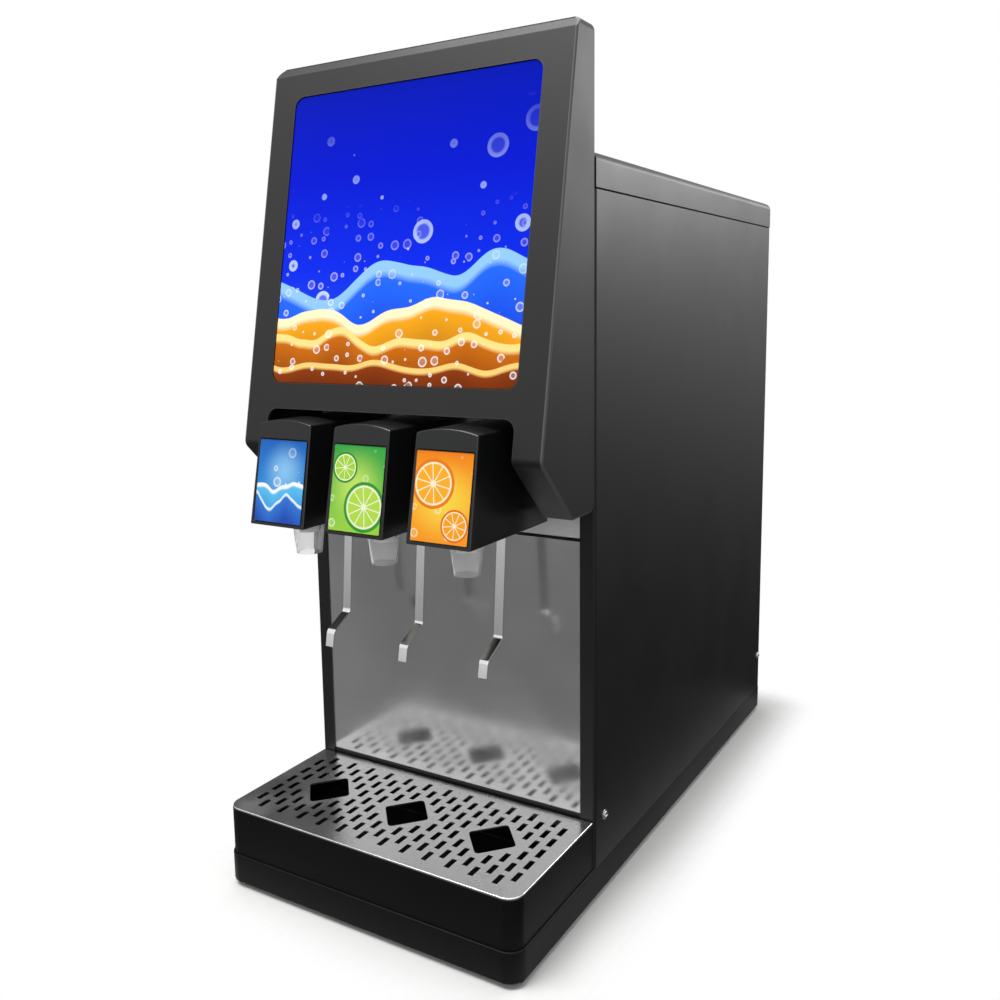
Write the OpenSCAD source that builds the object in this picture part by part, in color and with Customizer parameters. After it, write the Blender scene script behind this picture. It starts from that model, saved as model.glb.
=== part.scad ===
// Countertop post-mix soda dispenser with three valves.
// Millimetres. X runs across the front, -Y is the front, Z is up from the counter.
// Modules work from the cabinet's front plane (y = 0); placed() moves them to the part's frame.

/* [Cabinet] */
// Width over the two side panels
cabinet_w = 320; // [300:1:350]
// Depth from the front cheeks to the rear edge
cabinet_d = 521; // [490:1:560]
// Height of the side panels, plinth to lid seam
panel_h = 607; // [580:1:650]
// Thickness of the painted sheet
sheet_t = 1.5; // [1:0.1:2]
// Outer radius of the sheet bends
bend_r = 3; // [2.5:0.1:5]
// Width of the cheek, the front return of a side panel
cheek_w = 15; // [12:0.5:20]
// Width of the rear return of a side panel
rear_return_w = 14; // [10:0.5:20]
// Height of the lid above its seam
lid_h = 31; // [26:0.5:40]
// Radius of the lid's top edges
lid_r = 8; // [4:0.5:12]
// Wall of the lid
lid_wall = 2; // [1.5:0.1:3]
// Dark gap round the lid
lid_gap = 1.2; // [0.8:0.1:2]

/* [Plinth and feet] */
// Height of the rubber feet
foot_h = 5; // [3:0.5:10]
// Radius of a rubber foot
foot_r = 12; // [8:0.5:16]
// Distance of the feet from the plinth's edges
foot_inset = 32; // [24:1:50]
// Height of the plinth
plinth_h = 28; // [22:0.5:36]
// Wall of the plinth
plinth_wall = 2.5; // [2:0.1:4]
// Radius of the plinth's front corners
plinth_corner_r = 16; // [10:0.5:24]

/* [Drip tray] */
// How far the plinth and tray stand out in front of the cabinet
tray_d = 145; // [120:1:180]
// Height of the tray box
tray_h = 44.5; // [35:0.5:60]
// Step from the plinth's edge to the tray
tray_step = 1.5; // [1:0.1:3]
// Wall of the tray
tray_wall = 3; // [2:0.1:4]
// Floor of the tray
tray_floor = 6; // [5:0.1:8]
// Gap between the tray and the cabinet
tray_gap = 1; // [0.5:0.1:2]
// Thickness of the grate sheet
grate_t = 1.5; // [1:0.1:2.5]
// Depth of the grate's locating rim inside the tray
grate_rim_h = 8; // [5:0.5:12]
// Length of a drain slot, front to back
slot_l = 14; // [10:0.5:16]
// Width of a drain slot
slot_w = 5.2; // [3:0.1:6]
// Distance between slot columns of one kind
slot_pitch_x = 23.6; // [20:0.1:30]
// Distance between slot rows
slot_pitch_y = 20.5; // [18:0.1:24]
// Width of a diamond opening between its side corners, before they are rounded
diamond_w = 49.5; // [40:0.5:56]
// Depth of a diamond opening between its front and rear corners
diamond_l = 57.5; // [46:0.5:62]
// Corner radius of a diamond opening
diamond_r = 4; // [2:0.5:6]
// Distance between the diamonds
diamond_pitch = 93; // [86:0.5:97]

/* [Front panels] */
// Height of the black sill above the tray deck
sill_h = 50; // [48:0.5:54]
// Thickness of the stainless sheet
steel_t = 1.2; // [0.8:0.1:2]
// Depth of the folded edges of the stainless sheets
fold_d = 10; // [6:0.5:14]
// How far the splash panel ends below the valves
splash_drop = 17; // [10:0.5:30]
// Dark gap between splash panel and valve plate
splash_gap = 3; // [2:0.5:6]

/* [Hood] */
// Height of the hood
hood_h = 404.5; // [396:0.5:430]
// How far the hood's underside lies above the valves' underside
hood_lift = 11.5; // [8:0.5:20]
// Step in from the cabinet's side to the hood's side
hood_inset = 1; // [0.5:0.1:3]
// Wall of the hood moulding
hood_wall = 3; // [2.5:0.1:4]
// Depth of the flat top
hood_top_d = 22; // [20:0.5:30]
// Depth of the bevel between top and face
bevel_d = 8.5; // [5:0.5:12]
// Height of that bevel
bevel_h = 9; // [5:0.5:12]
// Length of the leaning front face
face_l = 348; // [338:1:352]
// Lean of the front face from upright
face_lean = 10.85; // [8:0.05:13]
// Depth of the hood's underside behind the chin
chin_d = 41; // [30:0.5:50]
// Radius of the rounded lower rear corner
heel_r = 8; // [4:0.5:12]
// Radius of the nose between face and chin
nose_r = 9; // [5:0.5:14]
// Radius of the upper corners seen from the front
crown_r = 8; // [4:0.5:12]
// Width of the display window
display_w = 262; // [240:1:270]
// Length of the display window along the face
display_l = 267; // [240:1:270]
// Distance of the window from the top of the face
display_drop = 22; // [18:0.5:26]
// Corner radius of the window
display_r = 10; // [6:0.5:16]
// How deep the display lies below the hood's face
display_recess = 1; // [0.5:0.1:2]
// Thickness of the display's flange
flange_t = 2; // [1.5:0.1:3]
// How far that flange reaches behind the hood
flange_w = 8; // [5:0.5:10]
// Depth of the light box
light_box_d = 14; // [10:0.5:16]
// Thickness of the light panel
light_panel_t = 6; // [4:0.5:8]
// Length of face between the display window and the valve opening
brow_l = 24; // [20:0.5:30]

/* [Valves] */
// Distance from an outer valve's middle to the cabinet's side
valve_margin = 74.3; // [72:0.1:80]
// Width of a valve cover at its lower edge
cover_w = 62; // [56:0.5:66]
// Width of a valve cover at its shoulders
cover_top_w = 59; // [54:0.5:64]
// Length of the cover's leaning face
cover_l = 91; // [84:0.5:96]
// How far the cover's lower edge stands out from the cabinet
cover_reach = 135; // [128:0.5:145]
// Rise of the arched cover top
cover_arch = 4; // [2:0.5:8]
// Wall of a valve cover
cover_wall = 2.2; // [1.8:0.1:3]
// Gap between the cover and the cabinet
cover_gap = 6; // [3:0.5:10]
// Width of a label insert
label_w = 54.6; // [46:0.2:55]
// Length of a label insert
label_l = 73.5; // [60:0.5:75]
// Thickness of a label insert
label_t = 0.8; // [0.5:0.1:1.2]
// Margin below the label
label_foot = 3.5; // [2:0.5:6]
// Clear height from grate to nozzle tips
cup_h = 245; // [200:1:260]
// Distance of the nozzles from the cabinet's front
nozzle_reach = 92.5; // [88:0.5:98]
// Height of a nozzle below the cover's edge
nozzle_h = 31.5; // [24:0.5:40]
// Radius of the nozzle's top
nozzle_top_r = 14.6; // [13.8:0.1:16]
// Radius of the nozzle's tip
nozzle_tip_r = 11.6; // [9:0.1:13]
// Wall of a nozzle
nozzle_wall = 1.6; // [1.2:0.1:2]
// Width of the lever strip
lever_w = 9; // [7:0.5:11]
// Thickness of the lever strip
lever_t = 1.5; // [1:0.1:2]
// Distance of the lever pivot from the cabinet's front
pivot_reach = 33; // [31:0.5:36]
// Height of the lever pivot above the cover's edge
pivot_rise = 9; // [8:0.5:10]
// Length of the lever from the pivot down to its first bend
lever_upper_l = 111; // [90:1:120]
// Length of the lever from the first bend to the second
lever_kick_l = 28; // [20:0.5:34]
// Length of the lever's toe
lever_toe_l = 15; // [10:0.5:24]
// Radius of the lever pins
pin_r = 2; // [1.5:0.1:2.5]
// Radius of the product stubs behind a valve
stub_r = 4; // [3:0.1:4.5]
// Length of the product stubs behind the valve plate
stub_l = 22; // [16:0.5:30]

/* [Cold bath] */
// Clear height of the machine bay under the bath shelf
bay_h = 255; // [245:1:265]
// Gap between a side panel and the tank
tank_side_gap = 16.5; // [14:0.5:20]
// Gap between the front panels and the tank
tank_front_gap = 58; // [45:1:70]
// Gap between the tank and the cabinet's rear edge
tank_rear_gap = 123; // [105:1:140]
// Gap between the tank's rim and the lid seam
tank_headroom = 40; // [30:1:46]
// Insulated wall of the tank
tank_wall = 12; // [10:0.5:15]
// Inner corner radius of the tank
tank_corner_r = 20; // [12:0.5:30]
// Number of evaporator loops
evaporator_loops = 10; // [6:1:14]
// Gap between the tank's wall and the evaporator loops
evaporator_gap = 13; // [10:0.5:16]
// Radius of the evaporator tube
evaporator_tube_r = 5; // [4:0.1:5.5]
// Number of loops of each product coil
product_loops = 3; // [2:1:4]
// Gap between the evaporator loops and the product loops
coil_gap = 11; // [9:0.5:13]
// Radius of a product tube
product_tube_r = 4; // [3:0.1:4.5]
// Radius of the carbonator
carbonator_r = 42; // [36:0.5:45]
// Height of the carbonator
carbonator_h = 205; // [160:1:215]
// Radius of the agitator motor
agitator_motor_r = 30; // [24:0.5:32]
// Height of the agitator motor
agitator_motor_h = 46; // [36:0.5:50]
// Radius of the agitator shaft
agitator_shaft_r = 4; // [3:0.1:5]
// Radius of the agitator's paddle
paddle_r = 20; // [14:0.5:24]

/* [Machine bay] */
// Radius of the compressor shell
compressor_r = 74; // [66:0.5:76]
// Height of the compressor shell
compressor_h = 165; // [140:1:180]
// Height of the compressor's rubber grommets
grommet_h = 12; // [8:0.5:16]
// Width of the condenser
condenser_w = 136; // [130:1:140]
// Height of the condenser
condenser_h = 190; // [170:1:205]
// Depth of the condenser
condenser_d = 40; // [34:0.5:44]
// Number of condenser fins
condenser_fins = 14; // [8:1:20]
// Radius of the suction line
suction_r = 4.5; // [3.5:0.1:5]
// Radius of the discharge line
discharge_r = 3.5; // [2.5:0.1:4]
// Radius of the liquid line
liquid_r = 3; // [2:0.1:3.5]
// Bend radius of the refrigerant lines
line_bend_r = 10; // [8:0.5:12]
// Radius of the filter drier
drier_r = 10; // [8:0.5:12]
// Length of the filter drier
drier_l = 90; // [70:1:110]
// Radius of the fan blade
fan_r = 54; // [44:0.5:58]
// Radius of the fan motor
fan_motor_r = 27; // [22:0.5:30]
// Length of the fan motor
fan_motor_l = 20; // [16:0.5:24]
// Radius of the fan shaft
fan_shaft_r = 3; // [2:0.1:4]
// Radius of the carbonator pump's motor
pump_r = 42; // [36:0.5:46]
// Length of the carbonator pump's motor
pump_l = 120; // [100:1:130]
// Width of the power supply
supply_w = 70; // [60:1:74]
// Depth of the power supply
supply_d = 120; // [100:1:130]
// Height of the power supply
supply_h = 60; // [40:1:80]

/* [Rear panel] */
// Length of a louvre slot
louvre_l = 58; // [50:1:64]
// Height of a louvre slot
louvre_h = 5; // [4:0.1:6]
// Distance between louvre rows
louvre_pitch = 16; // [14:0.5:20]
// Number of louvre rows
louvre_rows = 10; // [6:1:11]
// Radius of an inlet stub, for hose clamps
inlet_r = 4.76; // [4:0.01:6]
// How far the inlets stand out behind the cabinet
inlet_reach = 20; // [14:0.5:26]
// Distance between the inlets
inlet_pitch = 40; // [34:0.5:44]
// Radius of the cord gland's bore
gland_bore_r = 4.5; // [3:0.1:5]
// Width of the rocker
rocker_w = 12; // [10:0.5:16]
// Height of the rocker
rocker_h = 22; // [18:0.5:26]

/* [Clearances] */
// Clearance of a running pin or shaft in its bore, on the radius
running_gap = 0.05; // [0.02:0.01:0.1]
// Clearance round pieces that drop or slide into place
fit_gap = 0.4; // [0.3:0.05:0.6]

/* [Hidden] */
$fn = 64;
eps = 0.01;
half_w = cabinet_w / 2;
valve_pitch = half_w - valve_margin;
tank_w = cabinet_w - 2 * (sheet_t + tank_side_gap);
evaporator_r = tank_w / 2 - tank_wall - evaporator_gap - evaporator_tube_r;
product_r = evaporator_r - evaporator_tube_r - coil_gap - product_tube_r;

// Heights, from the counter up
deck_z = foot_h + plinth_h;
bay_floor_z = foot_h + plinth_wall;
lid_z = deck_z + panel_h;
top_z = lid_z + lid_h;
tray_top_z = deck_z + tray_h;
grate_top_z = tray_top_z + grate_t;
sill_top_z = deck_z + sill_h;
valve_z = grate_top_z + cup_h + nozzle_h;
splash_top_z = valve_z - splash_drop;
plate_z = splash_top_z + splash_gap;
hood_z = valve_z + hood_lift;
hood_top_z = hood_z + hood_h;
shelf_z = deck_z + bay_h;
tank_z = shelf_z + sheet_t;
tank_top_z = lid_z - tank_headroom;
tank_floor_z = tank_z + tank_wall;

// Depths, from the cabinet's front plane
tray_front_y = -(tray_d - tray_step);
panel_front_y = sheet_t;
tank_y0 = tank_front_gap;
tank_y1 = cabinet_d - tank_rear_gap;
tank_mid_y = (tank_y0 + tank_y1) / 2;
rear_panel_y = cabinet_d - 2 * sheet_t;

// Where the cabinet's front plane lies once the whole part is centred
overall_d = tray_d + cabinet_d + inlet_reach;
cabinet_front_y = tray_d - overall_d / 2;

// Outline of the hood from the side, as [y, z]
hood_bevel_top = [-hood_top_d, hood_top_z];
hood_face_top = hood_bevel_top - [bevel_d, bevel_h];
hood_nose = hood_face_top - face_l * [sin(face_lean), cos(face_lean)];
hood_side = [[0, hood_z], [0, hood_top_z], hood_bevel_top, hood_face_top, hood_nose, [-chin_d, hood_z]];
hood_side_r = [heel_r, 0, 2, 2, nose_r, 3];
hood_w = cabinet_w - 2 * hood_inset;
opening_w = 2 * valve_pitch + cover_w + 30;
opening_top_s = display_drop + display_l + brow_l;

// Valve cover, as [y, z]
cover_foot = [-cover_reach, valve_z];
cover_shoulder = cover_foot + cover_l * [sin(face_lean), cos(face_lean)];
valve_x = [for (side = [-1 : 1]) side * valve_pitch];

// Valve body, lever and switch
block_z = valve_z + fit_gap + 1;
block_h = 15;
block_w = 40;
block_top_z = block_z + block_h;
block_front_y = -(nozzle_reach + nozzle_top_r + 1);
spigot_r = nozzle_top_r - nozzle_wall - 0.3;
spigot_h = 9;
slot_gap = 2;
pivot_z = valve_z + pivot_rise;
lever_barrel_r = pin_r + 2;
arm_h = 16;
button_r = 1.6;
button_rise = 12;
button_reach = 10;
button_gap = 0.3;
button_stroke = 4;
switch_d = 20;
stub_x = 12;
stub_z = block_top_z + 12;

// Machine bay
bay_side_gap = 16;
compressor_rear_gap = 74;
compressor_x = -(half_w - bay_side_gap - compressor_r);
compressor_y = cabinet_d - compressor_rear_gap - compressor_r;
compressor_plate_t = 3;
condenser_x = half_w - bay_side_gap - condenser_w / 2;
condenser_y1 = rear_panel_y - 12;
condenser_y0 = condenser_y1 - condenser_d;
condenser_mid_y = (condenser_y0 + condenser_y1) / 2;
condenser_z0 = bay_floor_z;
fan_z = condenser_z0 + condenser_h / 2;
shroud_d = 18;
shroud_t = 2;
fan_tip_gap = 4;
fan_motor_set = 34;
fan_hub_gap = 3;
shroud_y = condenser_y0 - shroud_d;
fan_motor_y = shroud_y - fan_motor_set;
supply_y = 40;
pump_y = 105;
pump_z = bay_floor_z + pump_r + 10;
pump_x0 = -half_w + 26;
carbonator_x = -(product_r - product_tube_r - carbonator_r - 6);
agitator_x = product_r - product_tube_r - paddle_r - 12;
agitator_bridge_t = 3;

// Colours
black_paint = "#1c1d1f";
black_plastic = "#161719";
hood_grey = "#3b3c3e";
stainless = "#c9ccce";
galvanised = "#9aa0a3";
rubber = "#202020";
acetal = "#e9e8e2";
clear_grey = "#b9c2c6";
copper = "#b8733a";
brass = "#c3a04f";
foam_white = "#dfe3e4";
motor_grey = "#6c7276";

// Moves a piece from the cabinet's front plane to the part's frame
module placed() {
    translate([0, cabinet_front_y, 0]) children();
}

// Extrudes a [y, z] outline across the part, centred on x = 0
module across(w) {
    translate([-w / 2, 0, 0]) rotate([90, 0, 90]) linear_extrude(w) children();
}

// Extrudes an [x, z] outline from y0 back to y1
module along(y0, y1) {
    translate([0, y1, 0]) rotate([90, 0, 0]) linear_extrude(y1 - y0) children();
}

// Cylinder along X from x0 to x1
module rod_x(r, x0, x1) {
    translate([x0, 0, 0]) rotate([0, 90, 0]) cylinder(r = r, h = x1 - x0);
}

// Cylinder along Y from y0 to y1
module rod_y(r, y0, y1) {
    translate([0, y1, 0]) rotate([90, 0, 0]) cylinder(r = r, h = y1 - y0);
}

// Tube along a path of square corners, bent to a radius at each
module bent_tube(path, r, bend) {
    last = len(path) - 1;
    for (i = [1 : last]) {
        u = unit(path[i] - path[i - 1]);
        from = path[i - 1] + (i == 1 ? 0 : bend) * u;
        to = path[i] - (i == last ? 0 : bend) * u;
        translate(from) rotate([0, acos(u.z), atan2(u.y, u.x)]) cylinder(r = r, h = norm(to - from));
    }
    for (i = [1 : last - 1]) {
        u = unit(path[i] - path[i - 1]);
        v = unit(path[i + 1] - path[i]);
        n = cross(u, v);
        c = path[i] + bend * (v - u);
        multmatrix([[-v.x, u.x, n.x, c.x], [-v.y, u.y, n.y, c.y], [-v.z, u.z, n.z, c.z]])
            rotate_extrude(angle = 90) translate([bend, 0]) circle(r);
    }
}

// Box from its lowest to its highest corner
module box(low, high) {
    translate(low) cube(high - low);
}

// Rectangle centred on the origin with round corners
module round_rect(w, l, r) {
    square([w - 2 * r, l], center = true);
    square([w, l - 2 * r], center = true);
    for (x = [-1, 1], y = [-1, 1])
        translate([x * (w / 2 - r), y * (l / 2 - r)]) circle(r);
}

function unit(v) = v / norm(v);

// Points of the arc of radius r that rounds corner b between a and c
function corner_arc(a, b, c, r, steps) =
    let (
        u = unit(a - b),
        v = unit(c - b),
        half = acos(u * v) / 2,
        centre = b + unit(u + v) * r / sin(half),
        start = b + u * r / tan(half) - centre,
        turn = (180 - 2 * half) * (cross(u, v) > 0 ? -1 : 1)
    )
    [for (i = [0 : steps])
        let (t = turn * i / steps)
        centre + [start.x * cos(t) - start.y * sin(t), start.x * sin(t) + start.y * cos(t)]];

// Outline with each corner rounded by its own radius, 0 for a sharp one
function rounded(pts, radii, steps = 6) =
    let (n = len(pts))
    [for (i = [0 : n - 1])
        each (radii[i] > 0
            ? corner_arc(pts[(i + n - 1) % n], pts[i], pts[(i + 1) % n], radii[i], steps)
            : [pts[i]])];

// Crossing of the line through p along u with the line through q along v
function crossing(p, u, q, v) = p + u * cross(q - p, v) / cross(u, v);

// Outline moved in by its wall; the points run counter-clockwise
function inset(pts, wall) =
    let (n = len(pts))
    [for (i = [0 : n - 1])
        let (
            u = unit(pts[i] - pts[(i + n - 1) % n]),
            v = unit(pts[(i + 1) % n] - pts[i])
        )
        crossing(pts[i] + wall * [-u.y, u.x], u, pts[i] + wall * [-v.y, v.x], v)];

// Strip of thickness t along a path in a plane
function strip(path, t) =
    let (
        n = len(path),
        side = [for (i = [0 : n - 1])
            let (
                u = unit(path[max(i, 1)] - path[max(i, 1) - 1]),
                v = unit(path[min(i + 1, n - 1)] - path[min(i + 1, n - 1) - 1]),
                m = unit(u + v)
            )
            t / 2 / (m * u) * [-m.y, m.x]]
    )
    concat(
        [for (i = [0 : n - 1]) path[i] + side[i]],
        [for (i = [n - 1 : -1 : 0]) path[i] - side[i]]
    );

// Plan of the plinth, moved in from its edge
module plinth_plan(step) {
    r = plinth_corner_r - step;
    front = -tray_d + step;
    rear = cabinet_d - step;
    w = cabinet_w - 2 * step;
    translate([-w / 2, front + r]) square([w, rear - front - r]);
    translate([-w / 2 + r, front]) square([w - 2 * r, r + eps]);
    for (side = [-1, 1]) translate([side * (w / 2 - r), front + r]) circle(r);
}

// Plan of the drip tray, moved in from its edge
module tray_plan(step) {
    intersection() {
        plinth_plan(tray_step + step);
        translate([-cabinet_w, -2 * tray_d]) square([2 * cabinet_w, 2 * tray_d - tray_gap - step]);
    }
}

rail_w = 8;
rail_h = 3;
rail_x = half_w - 50;

// Base pan: floor of the machine bay, and a deck with two rails for the drip tray
module plinth() {
    color(black_plastic) {
        difference() {
            translate([0, 0, foot_h]) linear_extrude(plinth_h) plinth_plan(0);
            translate([0, 0, bay_floor_z])
                linear_extrude(plinth_h - 2 * plinth_wall) plinth_plan(plinth_wall);
            translate([0, 0, bay_floor_z]) intersection() {
                linear_extrude(plinth_h) plinth_plan(plinth_wall);
                box([-cabinet_w, 2 * sheet_t, -eps], [cabinet_w, cabinet_d, plinth_h + eps]);
            }
            floor_slots();
        }
        for (side = [-1, 1])
            box([side * rail_x - rail_w / 2, tray_front_y + plinth_corner_r, deck_z],
                [side * rail_x + rail_w / 2, -tray_gap - fit_gap, deck_z + rail_h]);
    }
}

floor_slot_pitch = 14;
floor_slot_w = 6;
floor_slots_n = 8;

// Air slots in the floor under the condenser's fan
module floor_slots() {
    for (i = [0 : floor_slots_n - 1])
        translate([condenser_x + (i - (floor_slots_n - 1) / 2) * floor_slot_pitch, fan_motor_y, 0])
            box([-floor_slot_w / 2, -60, 0], [floor_slot_w / 2, -10, bay_floor_z + eps]);
}

// Four feet, hollowed underneath
module rubber_feet() {
    cup_r = foot_r * 0.45;
    color(rubber)
        for (side = [-1, 1], y = [-tray_d + foot_inset, cabinet_d - foot_inset])
            translate([side * (half_w - foot_inset), y, 0])
                rotate_extrude()
                    polygon([[0, foot_h / 2], [cup_r, foot_h / 2], [cup_r, 0], [foot_r - 1, 0],
                             [foot_r, 1], [foot_r, foot_h], [0, foot_h]]);
}

// Quarter of a sheet bend, in the quadrant towards +X +Y
module bend_plan() {
    intersection() {
        difference() {
            circle(bend_r);
            circle(bend_r - sheet_t);
        }
        square(bend_r);
    }
}

top_return_w = 12;
top_return_end = 24;

// Right side panel: one sheet with a front cheek, a rear return and a top return
module side_panel() {
    color(black_paint) {
        translate([0, 0, deck_z]) linear_extrude(panel_h) {
            translate([half_w - sheet_t, bend_r]) square([sheet_t, cabinet_d - 2 * bend_r]);
            translate([half_w - cheek_w, 0]) square([cheek_w - bend_r, sheet_t]);
            translate([half_w - bend_r, bend_r]) mirror([0, 1]) bend_plan();
            translate([half_w - rear_return_w, cabinet_d - sheet_t])
                square([rear_return_w - bend_r, sheet_t]);
            translate([half_w - bend_r, cabinet_d - bend_r]) bend_plan();
        }
        box([half_w - top_return_w, top_return_end, lid_z - sheet_t],
            [half_w - sheet_t / 2, cabinet_d - top_return_end, lid_z]);
    }
}

module side_panel_right() {
    side_panel();
}

module side_panel_left() {
    mirror([1, 0, 0]) side_panel();
}

inner_w = cabinet_w - 2 * sheet_t - 2 * fit_gap;
sheet_w = cabinet_w - 2 * bend_r - 2 * fit_gap;
inlets_n = 5;
inlet_z = shelf_z + 70;
inlet_flange_r = 11;
inlet_body_r = 7;
gland_x = -half_w + 40;
gland_z = deck_z + 50;
gland_body_r = 8;
gland_flange_r = 12;
switch_x = half_w - 48;
switch_z = inlet_z;
bezel = 3;
switch_depth = 22;
louvre_lip_d = 4;
louvre_z = deck_z + 30;
louvre_x = [for (i = [-1 : 1]) i * (louvre_l + 14)];

// One pressed louvre: the hood above a slot, sloping out behind the panel
module louvre_lip() {
    translate([0, cabinet_d - sheet_t, 0])
        across(louvre_l + 4)
            polygon([[-eps, 0], [louvre_lip_d - 1.5, 0], [-eps, louvre_h + 3]]);
}

// Rear panel with three columns of louvres and the holes for its fittings
module rear_panel() {
    color(black_paint) {
        difference() {
            box([-sheet_w / 2, rear_panel_y, deck_z], [sheet_w / 2, cabinet_d - sheet_t, lid_z - lid_gap]);
            for (x = louvre_x, row = [0 : louvre_rows - 1])
                box([x - louvre_l / 2, rear_panel_y - 1, louvre_z + row * louvre_pitch],
                    [x + louvre_l / 2, cabinet_d, louvre_z + row * louvre_pitch + louvre_h]);
            for (i = [0 : inlets_n - 1])
                translate([inlet_x(i), 0, inlet_z])
                    rod_y(inlet_body_r + fit_gap / 2, rear_panel_y - 1, cabinet_d);
            translate([gland_x, 0, gland_z]) rod_y(gland_body_r + fit_gap / 2, rear_panel_y - 1, cabinet_d);
            translate([switch_x, 0, switch_z])
                box([-rocker_w / 2 - bezel, rear_panel_y - 1, -rocker_h / 2 - bezel],
                    [rocker_w / 2 + bezel, cabinet_d, rocker_h / 2 + bezel]);
        }
        for (x = louvre_x, row = [0 : louvre_rows - 1])
            translate([x, 0, louvre_z + row * louvre_pitch + louvre_h]) louvre_lip();
    }
}

function inlet_x(i) = (i - (inlets_n - 1) / 2 - 0.6) * inlet_pitch;

// Cross-section with round upper corners, standing on the origin
module dome_section(w, h, r) {
    translate([-w / 2, 0]) square([w, h - r]);
    translate([-w / 2 + r, 0]) square([w - 2 * r, h]);
    for (side = [-1, 1]) translate([side * (w / 2 - r), h - r]) circle(r);
}

// Block with round top edges, the lid's outer or inner form
module lid_form(step, bottom) {
    h = top_z - step - bottom;
    r = max(lid_r - step, 0.5);
    front = lid_gap + step;
    rear = cabinet_d - step;
    w = cabinet_w - 2 * step;
    translate([0, 0, bottom]) intersection() {
        along(front, rear) dome_section(w, h, r);
        across(w) translate([(front + rear) / 2, 0]) dome_section(rear - front, h, r);
    }
}

lid_rail_w = 3;
lid_rail_drop = 8;

// Lid: a shell that rests on the side panels' top returns and drops between them
module top_lid() {
    rail_x1 = half_w - top_return_w - fit_gap;
    rail_y0 = top_return_end;
    rail_y1 = cabinet_d - top_return_end;
    color(black_paint) {
        difference() {
            lid_form(0, lid_z + lid_gap);
            lid_form(lid_wall, lid_z);
        }
        for (side = [0, 1]) mirror([side, 0, 0]) {
            box([rail_x1 - lid_rail_w, rail_y0, lid_z - lid_rail_drop],
                [rail_x1, rail_y1, top_z - lid_wall / 2]);
            box([rail_x1 - eps, rail_y0, lid_z], [half_w - top_return_w / 2, rail_y1, lid_z + lid_gap]);
        }
    }
}

// Black strip that closes the cabinet's front between plinth and splash panel
module front_sill() {
    color(black_paint)
        box([-sheet_w / 2, panel_front_y, deck_z], [sheet_w / 2, panel_front_y + sheet_t, sill_top_z]);
}

// Stainless sheet behind the cheeks, folded back at its top and bottom
module folded_sheet(z0, z1) {
    box([-sheet_w / 2, panel_front_y, z0], [sheet_w / 2, panel_front_y + steel_t, z1]);
    for (z = [z0, z1 - steel_t])
        box([-sheet_w / 2, panel_front_y, z], [sheet_w / 2, panel_front_y + fold_d, z + steel_t]);
}

module splash_panel() {
    color(stainless) folded_sheet(sill_top_z + fit_gap, splash_top_z);
}

// Upper stainless sheet that the valves are fixed to
module valve_plate() {
    color(stainless) difference() {
        folded_sheet(plate_z, lid_z - lid_rail_drop - lid_gap);
        for (x = valve_x, side = [-1, 1])
            translate([x + side * stub_x, 0, stub_z])
                rod_y(stub_r + fit_gap, 0, panel_front_y + fold_d / 2);
    }
}

// Drip tray: open box with grooves underneath for the deck's rails
module drip_tray() {
    color(black_plastic) difference() {
        translate([0, 0, deck_z]) linear_extrude(tray_h) tray_plan(0);
        translate([0, 0, deck_z + tray_floor]) linear_extrude(tray_h) tray_plan(tray_wall);
        for (side = [-1, 1])
            box([side * rail_x - rail_w / 2 - fit_gap, tray_front_y + plinth_corner_r - fit_gap, deck_z - 1],
                [side * rail_x + rail_w / 2 + fit_gap, 0, deck_z + rail_h + fit_gap]);
    }
}

diamond_y = -tray_d / 2 + 2;
diamond_corners = [[diamond_w / 2, 0], [0, diamond_l / 2], [-diamond_w / 2, 0], [0, -diamond_l / 2]];
land = 2.5;
slot_columns = floor((cabinet_w / 2 - tray_step - tray_wall - 8 - slot_w / 2) / slot_pitch_x * 2);
slot_rows = floor((tray_d - 40) / 2 / slot_pitch_y * 2);

// True where a slot at x, y keeps its land to every diamond
function slot_clear(x, y) =
    min([for (i = [-1 : 1])
        max(abs(x - i * diamond_pitch) - slot_w / 2, 0) / diamond_w
        + max(abs(y - diamond_y) - slot_l / 2, 0) / diamond_l])
    > 0.5 + land / diamond_w;

// Slots of the grate: two staggered grids in one, left out round the diamonds
module drain_slots() {
    for (i = [-slot_columns : slot_columns], j = [-slot_rows : slot_rows]) {
        x = i * slot_pitch_x / 2;
        y = diamond_y + j * slot_pitch_y / 2;
        if ((i + j) % 2 == 0 && slot_clear(x, y))
            translate([x, y]) square([slot_w, slot_l], center = true);
    }
}

// Stainless grate with drain slots, three diamonds and a rim that drops into the tray
module drip_grate() {
    rim = tray_wall + fit_gap;
    color(stainless) {
        translate([0, 0, tray_top_z]) linear_extrude(grate_t) difference() {
            tray_plan(fit_gap);
            drain_slots();
            for (i = [-1 : 1]) translate([i * diamond_pitch, diamond_y])
                polygon(rounded(diamond_corners, [for (c = diamond_corners) diamond_r]));
        }
        translate([0, 0, tray_top_z - grate_rim_h]) linear_extrude(grate_rim_h + eps) difference() {
            tray_plan(rim);
            tray_plan(rim + grate_t);
        }
    }
}

// Frame of the hood's face: x across, -y down the face, z out of it
module on_face() {
    translate([0, hood_face_top.x, hood_face_top.y]) rotate([90 - face_lean, 0, 0]) children();
}

display_mid_s = display_drop + display_l / 2;

// Rounded block set in the face, grown from the window's size, between two depths
module face_block(grow, z0, z1) {
    on_face() translate([0, -display_mid_s, z0]) linear_extrude(z1 - z0)
        round_rect(display_w + 2 * grow, display_l + 2 * grow, max(display_r + grow, 1));
}

// Front outline of the hood, with its crown's round corners
module hood_front(step) {
    translate([0, hood_z - 1])
        dome_section(hood_w - 2 * step, hood_h + 1 - step, max(crown_r - step, 1));
}

opening_r = 10;

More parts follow.
